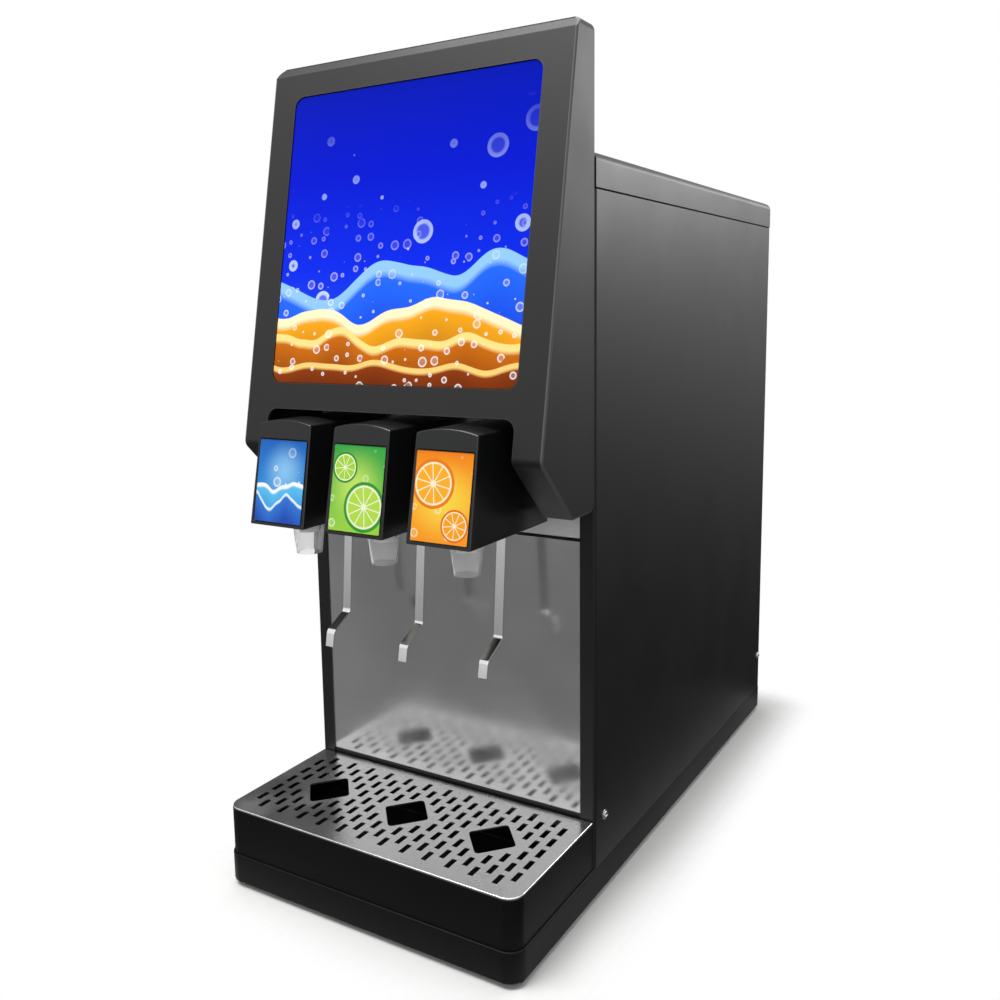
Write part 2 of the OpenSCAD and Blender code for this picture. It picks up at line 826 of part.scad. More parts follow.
// Opening for the valves: through the face's lower end, the chin and the underside
module valve_opening() {
    tall = face_l;
    on_face() translate([0, -opening_top_s - tall / 2, -hood_h])
        linear_extrude(hood_h + 20) round_rect(opening_w, tall, opening_r);
}

// Moulded head: leaning face, bevelled crown, chin and open back
module hood() {
    color(hood_grey) difference() {
        intersection() {
            across(hood_w) polygon(rounded(hood_side, hood_side_r, 10));
            along(-2 * tray_d, eps) hood_front(0);
        }
        intersection() {
            across(hood_w) polygon(rounded(hood_cavity, hood_cavity_r, 10));
            along(-2 * tray_d, hood_wall) hood_front(hood_wall);
        }
        face_block(0, -hood_wall - 1, 1);
        valve_opening();
    }
}

// The hood's hollow: its outline moved in by the wall, and run out through the back
hood_inner = inset(hood_side, hood_wall);
hood_cavity = [for (i = [0 : len(hood_side) - 1])
    i < 2 ? [hood_wall, hood_inner[i].y] : hood_inner[i]];
hood_cavity_r = [0, 0, 0, 0, max(nose_r - hood_wall, 0), 0];

// Backlit display: a plug in the window with a flange behind the hood's wall
module display_panel() {
    color("#1f5fc4") {
        face_block(-fit_gap / 2, -hood_wall - eps, -display_recess);
        face_block(flange_w, -hood_wall - flange_t, -hood_wall);
    }
}

light_wall = 1.5;
light_box_front = -hood_wall - flange_t;

// Shallow sheet box behind the display
module light_box() {
    color(galvanised) difference() {
        face_block(flange_w, light_box_front - light_box_d, light_box_front);
        face_block(flange_w - light_wall, light_box_front - light_box_d + light_wall, light_box_front + 1);
    }
}

// Flat lamp on the floor of the light box
module light_panel() {
    floor_n = light_box_front - light_box_d + light_wall;
    color("#f2f2ec") face_block(flange_w - light_wall - fit_gap, floor_n, floor_n + light_panel_t);
}

back_plate_t = 2;
back_plate_drop = 30;

// Plate that closes the hood's back above the cabinet
module hood_back_plate() {
    z0 = lid_z - back_plate_drop;
    step = hood_wall + fit_gap;
    color(black_paint) intersection() {
        along(-back_plate_t, 0) hood_front(step);
        box([-hood_w, -back_plate_t, z0], [hood_w, 0, hood_top_z]);
    }
}

// Half the width of a valve cover at height z
function cover_half_w(z) =
    cover_w / 2 - (cover_w - cover_top_w) / 2 * (z - valve_z) / (cover_shoulder.y - valve_z);

// Front outline of a valve cover: tapered sides under an arched top
module cover_front(step) {
    z0 = valve_z - 2;
    z1 = cover_ceiling_z;
    w0 = cover_half_w(z0) - step;
    w1 = cover_half_w(z1) - step;
    half_top = cover_top_w / 2;
    arch_r = (half_top * half_top + cover_arch * cover_arch) / (2 * cover_arch);
    intersection() {
        polygon([[-w0, z0], [-w1, z1], [w1, z1], [w0, z0]]);
        translate([0, cover_shoulder.y + cover_arch - arch_r]) circle(arch_r - step, $fn = 128);
    }
}

// Side outline of a valve cover, from its rear lower corner round over the top
cover_ceiling_z = cover_shoulder.y + cover_arch + 1;
cover_crest = crossing(cover_foot, cover_shoulder - cover_foot, [0, cover_ceiling_z], [1, 0]);
cover_side = [[-cover_gap, valve_z], [-cover_gap, cover_ceiling_z], cover_crest, cover_foot];

// Frame of a cover's face: x across, y up the face from its lower edge, z out of it
module on_cover(x) {
    translate([x, cover_foot.x, cover_foot.y]) rotate([90 - face_lean, 0, 0]) children();
}

label_r = 1.2;

module label_block(w, l, z0, z1) {
    translate([0, label_foot + label_l / 2, z0]) linear_extrude(z1 - z0) round_rect(w, l, label_r);
}

// Cover of one valve: a shell open below and behind, with a bed for its label
module valve_cover(x) {
    wall_out = cover_wall / cos(face_lean);
    color(black_plastic) difference() {
        translate([x, 0, 0]) intersection() {
            across(cover_w) polygon(cover_side);
            along(-2 * cover_reach, 0) cover_front(0);
        }
        translate([x, wall_out, -1]) intersection() {
            across(cover_w) polygon([for (p = cover_side) p.x == -cover_gap ? [0, p.y] : p]);
            along(-2 * cover_reach, cover_reach) cover_front(cover_wall);
        }
        on_cover(x) label_block(label_w, label_l, -label_t, 1);
    }
}

// Printed insert on the bed of a cover's face
module flavour_label(x, tint) {
    color(tint) on_cover(x)
        label_block(label_w - fit_gap, label_l - fit_gap, -label_t, 0);
}

flow_control_r = 8;
flow_control_h = 30;
seat_gap = 0.3;
back_block_d = 12;
back_block_top_z = stub_z + 10;
flow_control_y = -back_block_d - flow_control_r - 1;
back_block_w = 2 * (cover_half_w(back_block_top_z) - cover_wall - seat_gap);
slot_half = lever_w / 2 + slot_gap;
slot_y0 = -(pivot_reach + lever_barrel_r + 9);
slot_y1 = -(pivot_reach - lever_barrel_r - 4);

// Body of one valve: block with nozzle spigot, lever slot, flow controls and product stubs
module valve_body(x) {
    color(acetal) translate([x, 0, 0]) {
        difference() {
            union() {
                box([-block_w / 2, block_front_y, block_z], [block_w / 2, 0, block_top_z]);
                box([-back_block_w / 2, -back_block_d, block_z],
                    [back_block_w / 2, panel_front_y, back_block_top_z]);
                translate([0, -nozzle_reach, block_z - spigot_h])
                    cylinder(r = spigot_r, h = spigot_h + eps);
                for (side = [-1, 1])
                    translate([side * stub_x, 0, stub_z])
                        rod_y(stub_r, 0, panel_front_y + steel_t + stub_l);
            }
            box([-slot_half, slot_y0, block_z - 1], [slot_half, slot_y1, block_top_z + 1]);
            translate([0, -pivot_reach, pivot_z]) rod_x(pin_r, -block_w, block_w);
            translate([0, -nozzle_reach, block_z - spigot_h - 1])
                cylinder(r = diffuser_stem_r, h = spigot_h + block_h / 2);
        }
        for (side = [-1, 1])
            translate([side * (slot_half + flow_control_r + 1), flow_control_y, block_top_z]) {
                translate([0, 0, -eps]) cylinder(r = flow_control_r, h = flow_control_h);
                cylinder(r = flow_control_r / 2, h = flow_control_h + 5);
            }
    }
}

solenoid_r = 15;
solenoid_h = 34;
solenoid_plate_t = 3;

// Coil cans with their yokes, over the nozzles
module solenoids() {
    color(motor_grey) for (x = valve_x) translate([x, -nozzle_reach + 2, block_top_z]) {
        box([-solenoid_r - 3, -solenoid_r, 0], [solenoid_r + 3, solenoid_r, solenoid_plate_t]);
        translate([0, 0, solenoid_plate_t - eps]) cylinder(r = solenoid_r, h = solenoid_h);
        translate([0, 0, solenoid_h]) cylinder(r = solenoid_r / 3, h = solenoid_plate_t + 6);
    }
}

nozzle_seat_z = block_z - 0.3;
nozzle_tip_z = valve_z - nozzle_h;
lug_r = 2.2;

// Clear nozzle: a tapered shell that twists on to the body's spigot, with two grip lugs
module nozzle(x) {
    bore_r = spigot_r + 0.3;
    collar_z = block_z - spigot_h - 1;
    color(clear_grey) translate([x, -nozzle_reach, 0]) {
        difference() {
            union() {
                rotate_extrude() polygon([
                    [0, nozzle_tip_z], [nozzle_tip_r, nozzle_tip_z],
                    [nozzle_top_r, valve_z - 6], [nozzle_top_r, nozzle_seat_z], [0, nozzle_seat_z]]);
                translate([0, 0, valve_z - 6]) rod_x(lug_r, -nozzle_top_r - 1.5, nozzle_top_r + 1.5);
            }
            rotate_extrude() polygon([
                [0, nozzle_tip_z - 1], [nozzle_tip_r - nozzle_wall, nozzle_tip_z - 1],
                [nozzle_tip_r - nozzle_wall, nozzle_tip_z],
                [bore_r, collar_z - 2], [bore_r, nozzle_seat_z + 1], [0, nozzle_seat_z + 1]]);
        }
    }
}

diffuser_stem_r = 4;
diffuser_r = nozzle_tip_r - nozzle_wall - 1.5;
diffuser_t = 3;

// Diffusers: a stem in each body's spigot with a disc that spreads the flow
module diffusers() {
    stem_h = 13;
    color(acetal) for (x = valve_x) translate([x, -nozzle_reach, block_z - stem_h]) {
        cylinder(r = diffuser_stem_r, h = stem_h);
        cylinder(r = diffuser_r, h = diffuser_t);
    }
}

// Path of the lever's strip down from its pivot, as [y, z]
lever_bend_1 = [-pivot_reach, pivot_z] + lever_upper_l * [-sin(5), -cos(5)];
lever_bend_2 = lever_bend_1 + lever_kick_l * [-cos(28), -sin(28)];
lever_end = lever_bend_2 + lever_toe_l * [-sin(11), -cos(11)];
lever_bend_r = 6;
lever_path = concat(
    [[-pivot_reach, pivot_z]],
    corner_arc([-pivot_reach, pivot_z], lever_bend_1, lever_bend_2, lever_bend_r, 5),
    corner_arc(lever_bend_1, lever_bend_2, lever_end, lever_bend_r, 5),
    [lever_end]
);

// Push lever: a bent steel strip with a barrel on its pin and an arm up to the switch
module lever(x) {
    color(stainless) translate([x, 0, 0]) difference() {
        union() {
            across(lever_w) polygon(strip(lever_path, lever_t));
            translate([0, -pivot_reach, pivot_z]) rod_x(lever_barrel_r, -lever_w / 2, lever_w / 2);
            box([-lever_w / 2, -pivot_reach - lever_t / 2, pivot_z],
                [lever_w / 2, -pivot_reach + lever_t / 2, pivot_z + arm_h]);
        }
        translate([0, -pivot_reach, pivot_z]) rod_x(pin_r + running_gap, -lever_w, lever_w);
    }
}

module lever_pins() {
    color(stainless) for (x = valve_x)
        translate([x, -pivot_reach, pivot_z]) rod_x(pin_r, -block_w / 2 + 2, block_w / 2 - 2);
}

button_tip_y = -pivot_reach - lever_t / 2 - button_gap;
switch_y1 = button_tip_y - button_reach / 2;
switch_z0 = block_top_z;
button_z = pivot_z + button_rise;

// Microswitches on the valve bodies, in front of the levers' arms
module microswitches() {
    color(black_plastic) for (x = valve_x) translate([x, 0, 0]) difference() {
        box([-slot_half - 1, switch_y1 - switch_d, switch_z0],
            [slot_half + 1, switch_y1, button_z + button_r + 3]);
        translate([0, 0, button_z])
            rod_y(button_r + running_gap, button_tip_y - button_reach - button_stroke - 1, 0);
    }
}

// Button of a microswitch, with a round tip
module switch_button(x) {
    color("#b23a2e") translate([x, button_tip_y, button_z]) rotate([90, 0, 0])
        rotate_extrude() intersection() {
            union() {
                translate([0, button_r]) circle(button_r);
                translate([0, button_r]) square([button_r, button_reach - button_r]);
            }
            square([button_r, button_reach]);
        }
}

// Sheet across the cabinet that carries the bath
module bath_shelf() {
    y0 = panel_front_y + fold_d + 2;
    y1 = condenser_mid_y - suction_r - line_gap;
    color(galvanised) {
        box([-inner_w / 2, y0, shelf_z], [inner_w / 2, y1, shelf_z + sheet_t]);
        for (side = [0, 1]) mirror([side, 0, 0])
            box([inner_w / 2 - sheet_t, y0, shelf_z - fold_d], [inner_w / 2, y1, shelf_z + eps]);
    }
}

// Posts between the two windings, sized to the room left by the tubes
vertex = cos(30);
post_room_0 = product_r + vertex * product_tube_r;
post_room_1 = evaporator_r - vertex * evaporator_tube_r;
post_r = (post_room_1 - post_room_0) / 2 - 0.3;
post_mid_r = (post_room_0 + post_room_1) / 2;
winding_z0 = tank_floor_z + 8;
winding_h = tank_top_z - 30 - winding_z0;

// Insulated bath tank with posts that hold the windings
module bath_tank() {
    color(foam_white) translate([0, tank_mid_y, 0]) {
        difference() {
            translate([0, 0, tank_z]) linear_extrude(tank_top_z - tank_z)
                round_rect(tank_w, tank_y1 - tank_y0, tank_corner_r + tank_wall);
            translate([0, 0, tank_floor_z]) linear_extrude(tank_top_z)
                round_rect(tank_w - 2 * tank_wall, tank_y1 - tank_y0 - 2 * tank_wall, tank_corner_r);
        }
        for (a = [30, 150, 270])
            rotate(a) translate([post_mid_r, 0, tank_floor_z - eps]) cylinder(r = post_r, h = winding_h + 8);
    }
}

// Hoses from the valves' stubs to the tank
module product_hoses() {
    hose_y0 = panel_front_y + fold_d + 2;
    color(clear_grey) for (x = valve_x, side = [-1, 1])
        translate([x + side * stub_x, 0, stub_z]) difference() {
            rod_y(stub_r + 2, hose_y0, tank_y0);
            rod_y(stub_r + running_gap, hose_y0 - 1, panel_front_y + steel_t + stub_l + 0.3);
        }
}

rings_per_loop = 24;
tube_sides = 6;

// Points of one ring of a wound tube, at ring number i
function winding_ring(loop_r, tube_r, pitch, i) =
    let (a = 360 * i / rings_per_loop, z = pitch * i / rings_per_loop)
    [for (k = [0 : tube_sides - 1])
        let (b = 360 * k / tube_sides + 30, d = loop_r + tube_r * cos(b))
        [d * cos(a), d * sin(a), z + tube_r * sin(b)]];

function winding_rings(loop_r, tube_r, pitch, loops) =
    [for (i = [0 : loops * rings_per_loop]) winding_ring(loop_r, tube_r, pitch, i)];

// Least distance between the points of one loop and those of the next
function least_gap(rings) =
    min([for (i = [0 : len(rings) - 1 - rings_per_loop], p = rings[i], q = rings[i + rings_per_loop])
        norm(p - q)]);

// One unbroken tube wound in loops, starting at angle 0
module winding(rings) {
    n = len(rings);
    points = [for (ring = rings) each ring];
    walls = [for (i = [0 : n - 2], k = [0 : tube_sides - 1])
        let (
            a = i * tube_sides + k,
            b = i * tube_sides + (k + 1) % tube_sides
        )
        each [[a, b, b + tube_sides], [a, b + tube_sides, a + tube_sides]]];
    first = [for (k = [1 : tube_sides - 2]) [0, k + 1, k]];
    last = [for (k = [1 : tube_sides - 2])
        let (o = (n - 1) * tube_sides) [o, o + k, o + k + 1]];
    polyhedron(points, concat(walls, first, last));
}

evaporator_pitch = (winding_h - 2 * evaporator_tube_r) / evaporator_loops;
evaporator_rings = winding_rings(evaporator_r, evaporator_tube_r, evaporator_pitch, evaporator_loops);
product_coils_n = 3;
product_room = winding_h / product_coils_n;
product_pitch = (product_room - 4 * product_tube_r) / product_loops;
product_rings = winding_rings(product_r, product_tube_r, product_pitch, product_loops);
echo(least_gap_evaporator = least_gap(evaporator_rings), least_gap_product = least_gap(product_rings));

// Copper winding that freezes the ice bank
module evaporator_coil() {
    color(copper) translate([0, tank_mid_y, winding_z0 + evaporator_tube_r]) winding(evaporator_rings);
}

// Three stainless windings, one for each syrup, stacked inside the evaporator
module product_coils() {
    color(stainless) for (i = [0 : product_coils_n - 1])
        translate([0, tank_mid_y, winding_z0 + product_tube_r + i * product_room]) winding(product_rings);
}

// Carbonator: a domed vessel on a foot ring, with three ports
module carbonator() {
    dome_h = 14;
    foot_ring_h = 10;
    body_h = carbonator_h - foot_ring_h - 2 * dome_h;
    r = carbonator_r;
    color(stainless) translate([carbonator_x, tank_mid_y, tank_floor_z]) {
        rotate_extrude() polygon(concat(
            [[0, foot_ring_h]],
            [for (a = [-90 : 15 : 0]) if (a > -90) [r * cos(a), foot_ring_h + dome_h + dome_h * sin(a)]],
            [for (a = [0 : 15 : 75]) [r * cos(a), foot_ring_h + dome_h + body_h + dome_h * sin(a)]],
            [[0, carbonator_h]]));
        difference() {
            cylinder(r = r * 0.8, h = foot_ring_h + dome_h);
            translate([0, 0, -1]) cylinder(r = r * 0.8 - 2, h = foot_ring_h + dome_h);
        }
        for (a = [0, 120, 240]) rotate(a)
            translate([r * 0.5, 0, carbonator_h - dome_h]) cylinder(r = 5, h = dome_h + 14);
    }
}

bridge_w = 2 * agitator_motor_r + 16;

// Bridge across the tank's rim that carries the agitator motor
module agitator_bridge() {
    color(galvanised) difference() {
        box([agitator_x - bridge_w / 2, tank_y0 + 2, tank_top_z],
            [agitator_x + bridge_w / 2, tank_y1 - 2, tank_top_z + agitator_bridge_t]);
        translate([agitator_x, tank_mid_y, tank_top_z - 1])
            cylinder(r = agitator_shaft_r + 2, h = agitator_bridge_t + 2);
    }
}

motor_flange_t = 4;
shaft_grip_h = 24;

// Agitator motor, bored for its shaft
module agitator_motor() {
    r = agitator_motor_r;
    color(motor_grey) translate([agitator_x, tank_mid_y, tank_top_z + agitator_bridge_t]) difference() {
        rotate_extrude() polygon([
            [0, 0], [r + 4, 0], [r + 4, motor_flange_t], [r, motor_flange_t],
            [r, agitator_motor_h - 6], [r - 6, agitator_motor_h], [0, agitator_motor_h]]);
        translate([0, 0, -1]) cylinder(r = agitator_shaft_r + running_gap, h = shaft_grip_h + 2);
    }
}

paddle_blades = 3;
paddle_blade_t = 2;
paddle_h = 14;

// Agitator: shaft with a three-bladed paddle
module agitator() {
    paddle_z = tank_floor_z + 24;
    top = tank_top_z + agitator_bridge_t + shaft_grip_h;
    color(stainless) translate([agitator_x, tank_mid_y, 0]) {
        translate([0, 0, paddle_z]) cylinder(r = agitator_shaft_r, h = top - paddle_z);
        translate([0, 0, paddle_z - 2]) cylinder(r = agitator_shaft_r + 4, h = paddle_h + 4);
        for (i = [0 : paddle_blades - 1]) rotate(360 * i / paddle_blades)
            translate([agitator_shaft_r + 2, 0, paddle_z + paddle_h / 2]) rotate([40, 0, 0])
                box([0, -paddle_blade_t / 2, -paddle_h / 2],
                    [paddle_r - agitator_shaft_r - 4, paddle_blade_t / 2, paddle_h / 2]);
    }
}

compressor_plate_w = 2 * compressor_r + 2;
compressor_plate_d = 1.7 * compressor_r;
compressor_plate_r = 14;
compressor_foot_edge = 13;
compressor_foot_x = compressor_plate_w / 2 - compressor_foot_edge;
compressor_foot_y = compressor_plate_d / 2 - compressor_foot_edge;
compressor_feet = [for (x = [-1, 1], y = [-1, 1]) [x * compressor_foot_x, y * compressor_foot_y]];
compressor_crown_h = 34;
compressor_skirt_h = 22;
compressor_pipe_r = 5;
compressor_pipe_l = 18;
compressor_pipe_x = 0.3 * compressor_r;
compressor_pipe_y = 0.5 * compressor_r;
terminal_box_w = 48;
terminal_box_d = 16;
grommet_r = 11;
grommet_stem_r = 5;

// Hermetic compressor: domed shell on a base plate, with a terminal cover and pipes
module compressor() {
    r = compressor_r;
    crown = compressor_crown_h;
    box_w = terminal_box_w / 2;
    z0 = bay_floor_z + grommet_h;
    color(black_paint) translate([compressor_x, compressor_y, z0]) {
        linear_extrude(compressor_plate_t) difference() {
            round_rect(compressor_plate_w, compressor_plate_d, compressor_plate_r);
            for (p = compressor_feet) translate(p) circle(grommet_stem_r);
        }
        translate([0, 0, compressor_plate_t - eps]) rotate_extrude() polygon(concat(
            [[0, 0], [r * 0.8, 0], [r, compressor_skirt_h]],
            [for (a = [0 : 15 : 75]) [r * cos(a), compressor_h - crown + crown * sin(a)]],
            [[0, compressor_h]]));
        translate([0, 0, compressor_h * 0.55])
            box([-box_w, -r - terminal_box_d, -box_w], [box_w, -r * 0.8, box_w]);
        for (x = [-1, 1])
            translate([x * compressor_pipe_x, compressor_pipe_y, compressor_h - crown])
                cylinder(r = compressor_pipe_r, h = crown + compressor_pipe_l);
    }
}

// Top of a compressor pipe: -1 takes the suction line, 1 the discharge line
function compressor_pipe(side) = [
    compressor_x + side * compressor_pipe_x,
    compressor_y + compressor_pipe_y,
    bay_floor_z + grommet_h + compressor_h + compressor_pipe_l
];

// Rubber grommets under the compressor's plate, with a stem up through it
module compressor_grommets() {
    color(rubber) for (p = compressor_feet)
        translate([compressor_x + p.x, compressor_y + p.y, bay_floor_z]) {
            cylinder(r = grommet_r, h = grommet_h);
            cylinder(r = grommet_stem_r - running_gap, h = grommet_h + compressor_plate_t + 4);
        }
}

fin_t = 0.8;
condenser_tube_r = 4.5;
condenser_tubes = 4;
condenser_stub_l = 3;
return_bend_r = 7.5;
return_reach = return_bend_r + 1;
end_plate_t = 2;

function condenser_tube_z(i) = (i + 0.5) * condenser_h / condenser_tubes;

// Condenser: one finned tube in passes between two end plates that stand on the bay floor
module condenser() {
    w = condenser_w;
    color(copper) translate([condenser_x, 0, condenser_z0]) {
        for (side = [0, 1]) mirror([side, 0, 0])
            box([w / 2 - end_plate_t, condenser_y0, 0], [w / 2, condenser_y1, condenser_h]);
        for (i = [1 : condenser_fins])
            translate([-w / 2 + i * w / (condenser_fins + 1), 0, 0])
                box([-fin_t / 2, condenser_y0 + 1, 4], [fin_t / 2, condenser_y1 - 1, condenser_h - 4]);
        for (i = [0 : condenser_tubes - 1])
            translate([0, condenser_mid_y, condenser_tube_z(i)]) rod_x(condenser_tube_r, -w / 2, w / 2);
        for (i = [0, condenser_tubes - 1])
            translate([0, condenser_mid_y, condenser_tube_z(i)])
                rod_x(condenser_tube_r, -w / 2 - condenser_stub_l, -w / 2);
        for (i = [0 : condenser_tubes - 2])
            mirror([i % 2, 0, 0])
                translate([w / 2, condenser_mid_y, 0])
                    bent_tube([
                        [0, 0, condenser_tube_z(i)], [return_reach, 0, condenser_tube_z(i)],
                        [return_reach, 0, condenser_tube_z(i + 1)], [0, 0, condenser_tube_z(i + 1)]],
                        condenser_tube_r, return_bend_r);
    }
}

line_gap = 8;
condenser_stub_x = condenser_x - condenser_w / 2 - condenser_stub_l;
evaporator_start = [evaporator_r, tank_mid_y, winding_z0 + evaporator_tube_r];
evaporator_end = evaporator_start + [0, 0, evaporator_pitch * evaporator_loops];
suction_top_z = tank_top_z + suction_r + line_gap / 2;
liquid_top_z = suction_top_z + suction_r + liquid_r + line_gap / 2;
suction_turn_z = compressor_pipe(-1).z + 40;
discharge_top_z = compressor_pipe(1).z + line_bend_r + line_gap;
discharge_x = condenser_stub_x - line_bend_r - line_gap / 2;
liquid_x = discharge_x - 2 * drier_r;
drier_z = bay_floor_z + 80;

// Suction line: out of the winding's upper end, over the tank's rear rim and down to the compressor
suction_path = [
    evaporator_end,
    evaporator_end + [0, evaporator_r, 0],
    [evaporator_r, tank_mid_y + evaporator_r, suction_top_z],
    [evaporator_r, (tank_y1 + condenser_mid_y) / 2, suction_top_z],
    [compressor_pipe(-1).x, (tank_y1 + condenser_mid_y) / 2, suction_top_z],
    [compressor_pipe(-1).x, condenser_mid_y, suction_top_z],
    [compressor_pipe(-1).x, condenser_mid_y, suction_turn_z],
    [compressor_pipe(-1).x, compressor_pipe(-1).y, suction_turn_z],
    compressor_pipe(-1)
];

// Discharge line: from the compressor to the condenser's upper stub
discharge_path = [
    compressor_pipe(1),
    [compressor_pipe(1).x, compressor_pipe(1).y, discharge_top_z],
    [discharge_x, compressor_pipe(1).y, discharge_top_z],
    [discharge_x, condenser_mid_y, discharge_top_z],
    [discharge_x, condenser_mid_y, condenser_z0 + condenser_tube_z(condenser_tubes - 1)],
    [condenser_stub_x, condenser_mid_y, condenser_z0 + condenser_tube_z(condenser_tubes - 1)]
];

// Liquid line: from the condenser's lower stub up and over to the winding's lower end
liquid_path = [
    [condenser_stub_x, condenser_mid_y, condenser_z0 + condenser_tube_z(0)],
    [liquid_x, condenser_mid_y, condenser_z0 + condenser_tube_z(0)],
    [liquid_x, condenser_mid_y, liquid_top_z],
    [evaporator_r, condenser_mid_y, liquid_top_z],
    [evaporator_r, tank_mid_y - evaporator_r, liquid_top_z],
    evaporator_start - [0, evaporator_r, 0],
    evaporator_start
];

// Copper lines of the cooling circuit, with the filter drier in the liquid line
module refrigerant_lines() {
    color(copper) {
        bent_tube(suction_path, suction_r, line_bend_r);
        bent_tube(discharge_path, discharge_r, line_bend_r);
        bent_tube(liquid_path, liquid_r, line_bend_r);
        translate([liquid_x, condenser_mid_y, drier_z]) rotate_extrude() polygon([
            [0, -drier_r], [liquid_r + 1, -drier_r], [drier_r, 0],
            [drier_r, drier_l], [liquid_r + 1, drier_l + drier_r], [0, drier_l + drier_r]]);
    }
}

// Fan shroud: a plate on the condenser with a deep ring round the fan
module fan_shroud() {
    mouth_r = fan_r + fan_tip_gap;
    w = condenser_w;
    color(galvanised) {
        translate([condenser_x, 0, 0]) difference() {
            union() {
                box([-w / 2, condenser_y0 - shroud_t, condenser_z0],
                    [w / 2, condenser_y0, condenser_z0 + condenser_h]);
                translate([0, 0, fan_z]) rod_y(mouth_r + shroud_t, shroud_y, condenser_y0);
            }
            translate([0, 0, fan_z]) rod_y(mouth_r, shroud_y - 1, condenser_y0 + 1);
        }
    }
}

fan_arm_w = 10;
fan_arm_t = 2;

// Fan motor with two arms to the shroud
module fan_motor() {
    reach = fan_r + fan_tip_gap + shroud_t;
    arm_y = fan_motor_y + 2;
    color(motor_grey) translate([condenser_x, 0, fan_z]) {
        difference() {
            union() {
                rod_y(fan_motor_r, fan_motor_y, fan_motor_y + fan_motor_l);
                rod_y(fan_motor_r * 0.55, fan_motor_y - 6, fan_motor_y + eps);
            }
            rod_y(fan_shaft_r + running_gap, fan_motor_y + 4, fan_motor_y + fan_motor_l + 1);
        }
        for (side = [0, 1]) mirror([0, 0, side]) {
            box([-fan_arm_w / 2, arm_y, fan_motor_r - 2],
                [fan_arm_w / 2, arm_y + fan_arm_t, reach + fan_arm_t]);
            box([-fan_arm_w / 2, arm_y, reach],
                [fan_arm_w / 2, condenser_y0 - shroud_t, reach + fan_arm_t]);
        }
    }
}

fan_blades = 5;
blade_t = 1.6;
blade_w = 26;
fan_hub_r = 16;
fan_hub_l = 14;

// Fan: hub and pitched blades on a shaft in the motor
module fan_blade() {
    hub_y = fan_motor_y + fan_motor_l + fan_hub_gap;
    color(black_plastic) translate([condenser_x, 0, fan_z]) {
        rod_y(fan_shaft_r, fan_motor_y + 5, hub_y + eps);
        rod_y(fan_hub_r, hub_y, hub_y + fan_hub_l);
        for (i = [0 : fan_blades - 1]) rotate([0, 360 * i / fan_blades, 0])
            translate([fan_hub_r - 2, hub_y + fan_hub_l / 2, 0]) rotate([28, 0, 0])
                intersection() {
                    box([0, -blade_t / 2, -blade_w / 2], [fan_r - fan_hub_r, blade_t / 2, blade_w / 2]);
                    translate([fan_r - fan_hub_r - blade_w / 2, 0, 0]) {
                        rod_y(blade_w / 2, -blade_t, blade_t);
                        box([-fan_r, -blade_t, -blade_w / 2], [0, blade_t, blade_w / 2]);
                    }
                }
    }
}

pump_head_l = 44;

// Carbonator pump: motor on a foot, with the pump head on its end
module carbonator_pump() {
    color(motor_grey) translate([pump_x0, pump_y, pump_z]) {
        rod_x(pump_r, 0, pump_l);
        rod_x(pump_r * 0.6, pump_l - eps, pump_l + pump_head_l);
        for (side = [-1, 1]) translate([pump_l + pump_head_l / 2, 0, 0])
            rod_y(6, side < 0 ? -pump_r : 0, side < 0 ? 0 : pump_r);
        box([10, -pump_r * 0.7, bay_floor_z - pump_z], [pump_l - 10, pump_r * 0.7, -pump_r * 0.6]);
    }
}

// Power supply: ventilated box on the bay floor
module power_supply() {
    x1 = half_w - bay_side_gap;
    y0 = supply_y;
    color(galvanised) difference() {
        box([x1 - supply_w, y0, bay_floor_z], [x1, y0 + supply_d, bay_floor_z + supply_h]);
        for (i = [0 : 5])
            box([x1 - supply_w + 10, y0 + 15 + i * (supply_d - 30) / 6, bay_floor_z + supply_h - 2],
                [x1 - 10, y0 + 20 + i * (supply_d - 30) / 6, bay_floor_z + supply_h + 1]);
    }
}

inlet_bore_r = 2.8;
inlet_inner_l = 16;

// Barbless stubs for three syrups, water and gas, in the rear panel
module inlet_fittings() {
    color(brass) for (i = [0 : inlets_n - 1]) translate([inlet_x(i), 0, inlet_z]) difference() {
        union() {
            rod_y(inlet_body_r, rear_panel_y - inlet_inner_l, cabinet_d);
            translate([0, cabinet_d + 4, 0]) rotate([90, 0, 0])
                cylinder(r = inlet_flange_r, h = 4 + sheet_t, $fn = 6);
            rod_y(inlet_r, cabinet_d, cabinet_d + inlet_reach);
        }
        rod_y(inlet_bore_r, rear_panel_y - inlet_inner_l - 1, cabinet_d + inlet_reach + 1);
    }
}

// Gland for the supply cord, with a flange outside and a nut inside
module cord_gland() {
    color(black_plastic) translate([gland_x, 0, gland_z]) difference() {
        union() {
            rod_y(gland_body_r, rear_panel_y - 14, cabinet_d + 8);
            rod_y(gland_flange_r, cabinet_d - sheet_t, cabinet_d + 3);
            translate([0, rear_panel_y, 0]) rotate([90, 0, 0])
                cylinder(r = gland_flange_r + 1, h = 6, $fn = 6);
        }
        rod_y(gland_bore_r, rear_panel_y - 20, cabinet_d + 20);
    }
}

rocker_axle_r = 2;
rocker_y = cabinet_d - sheet_t + 1;
rocker_tilt = 8;

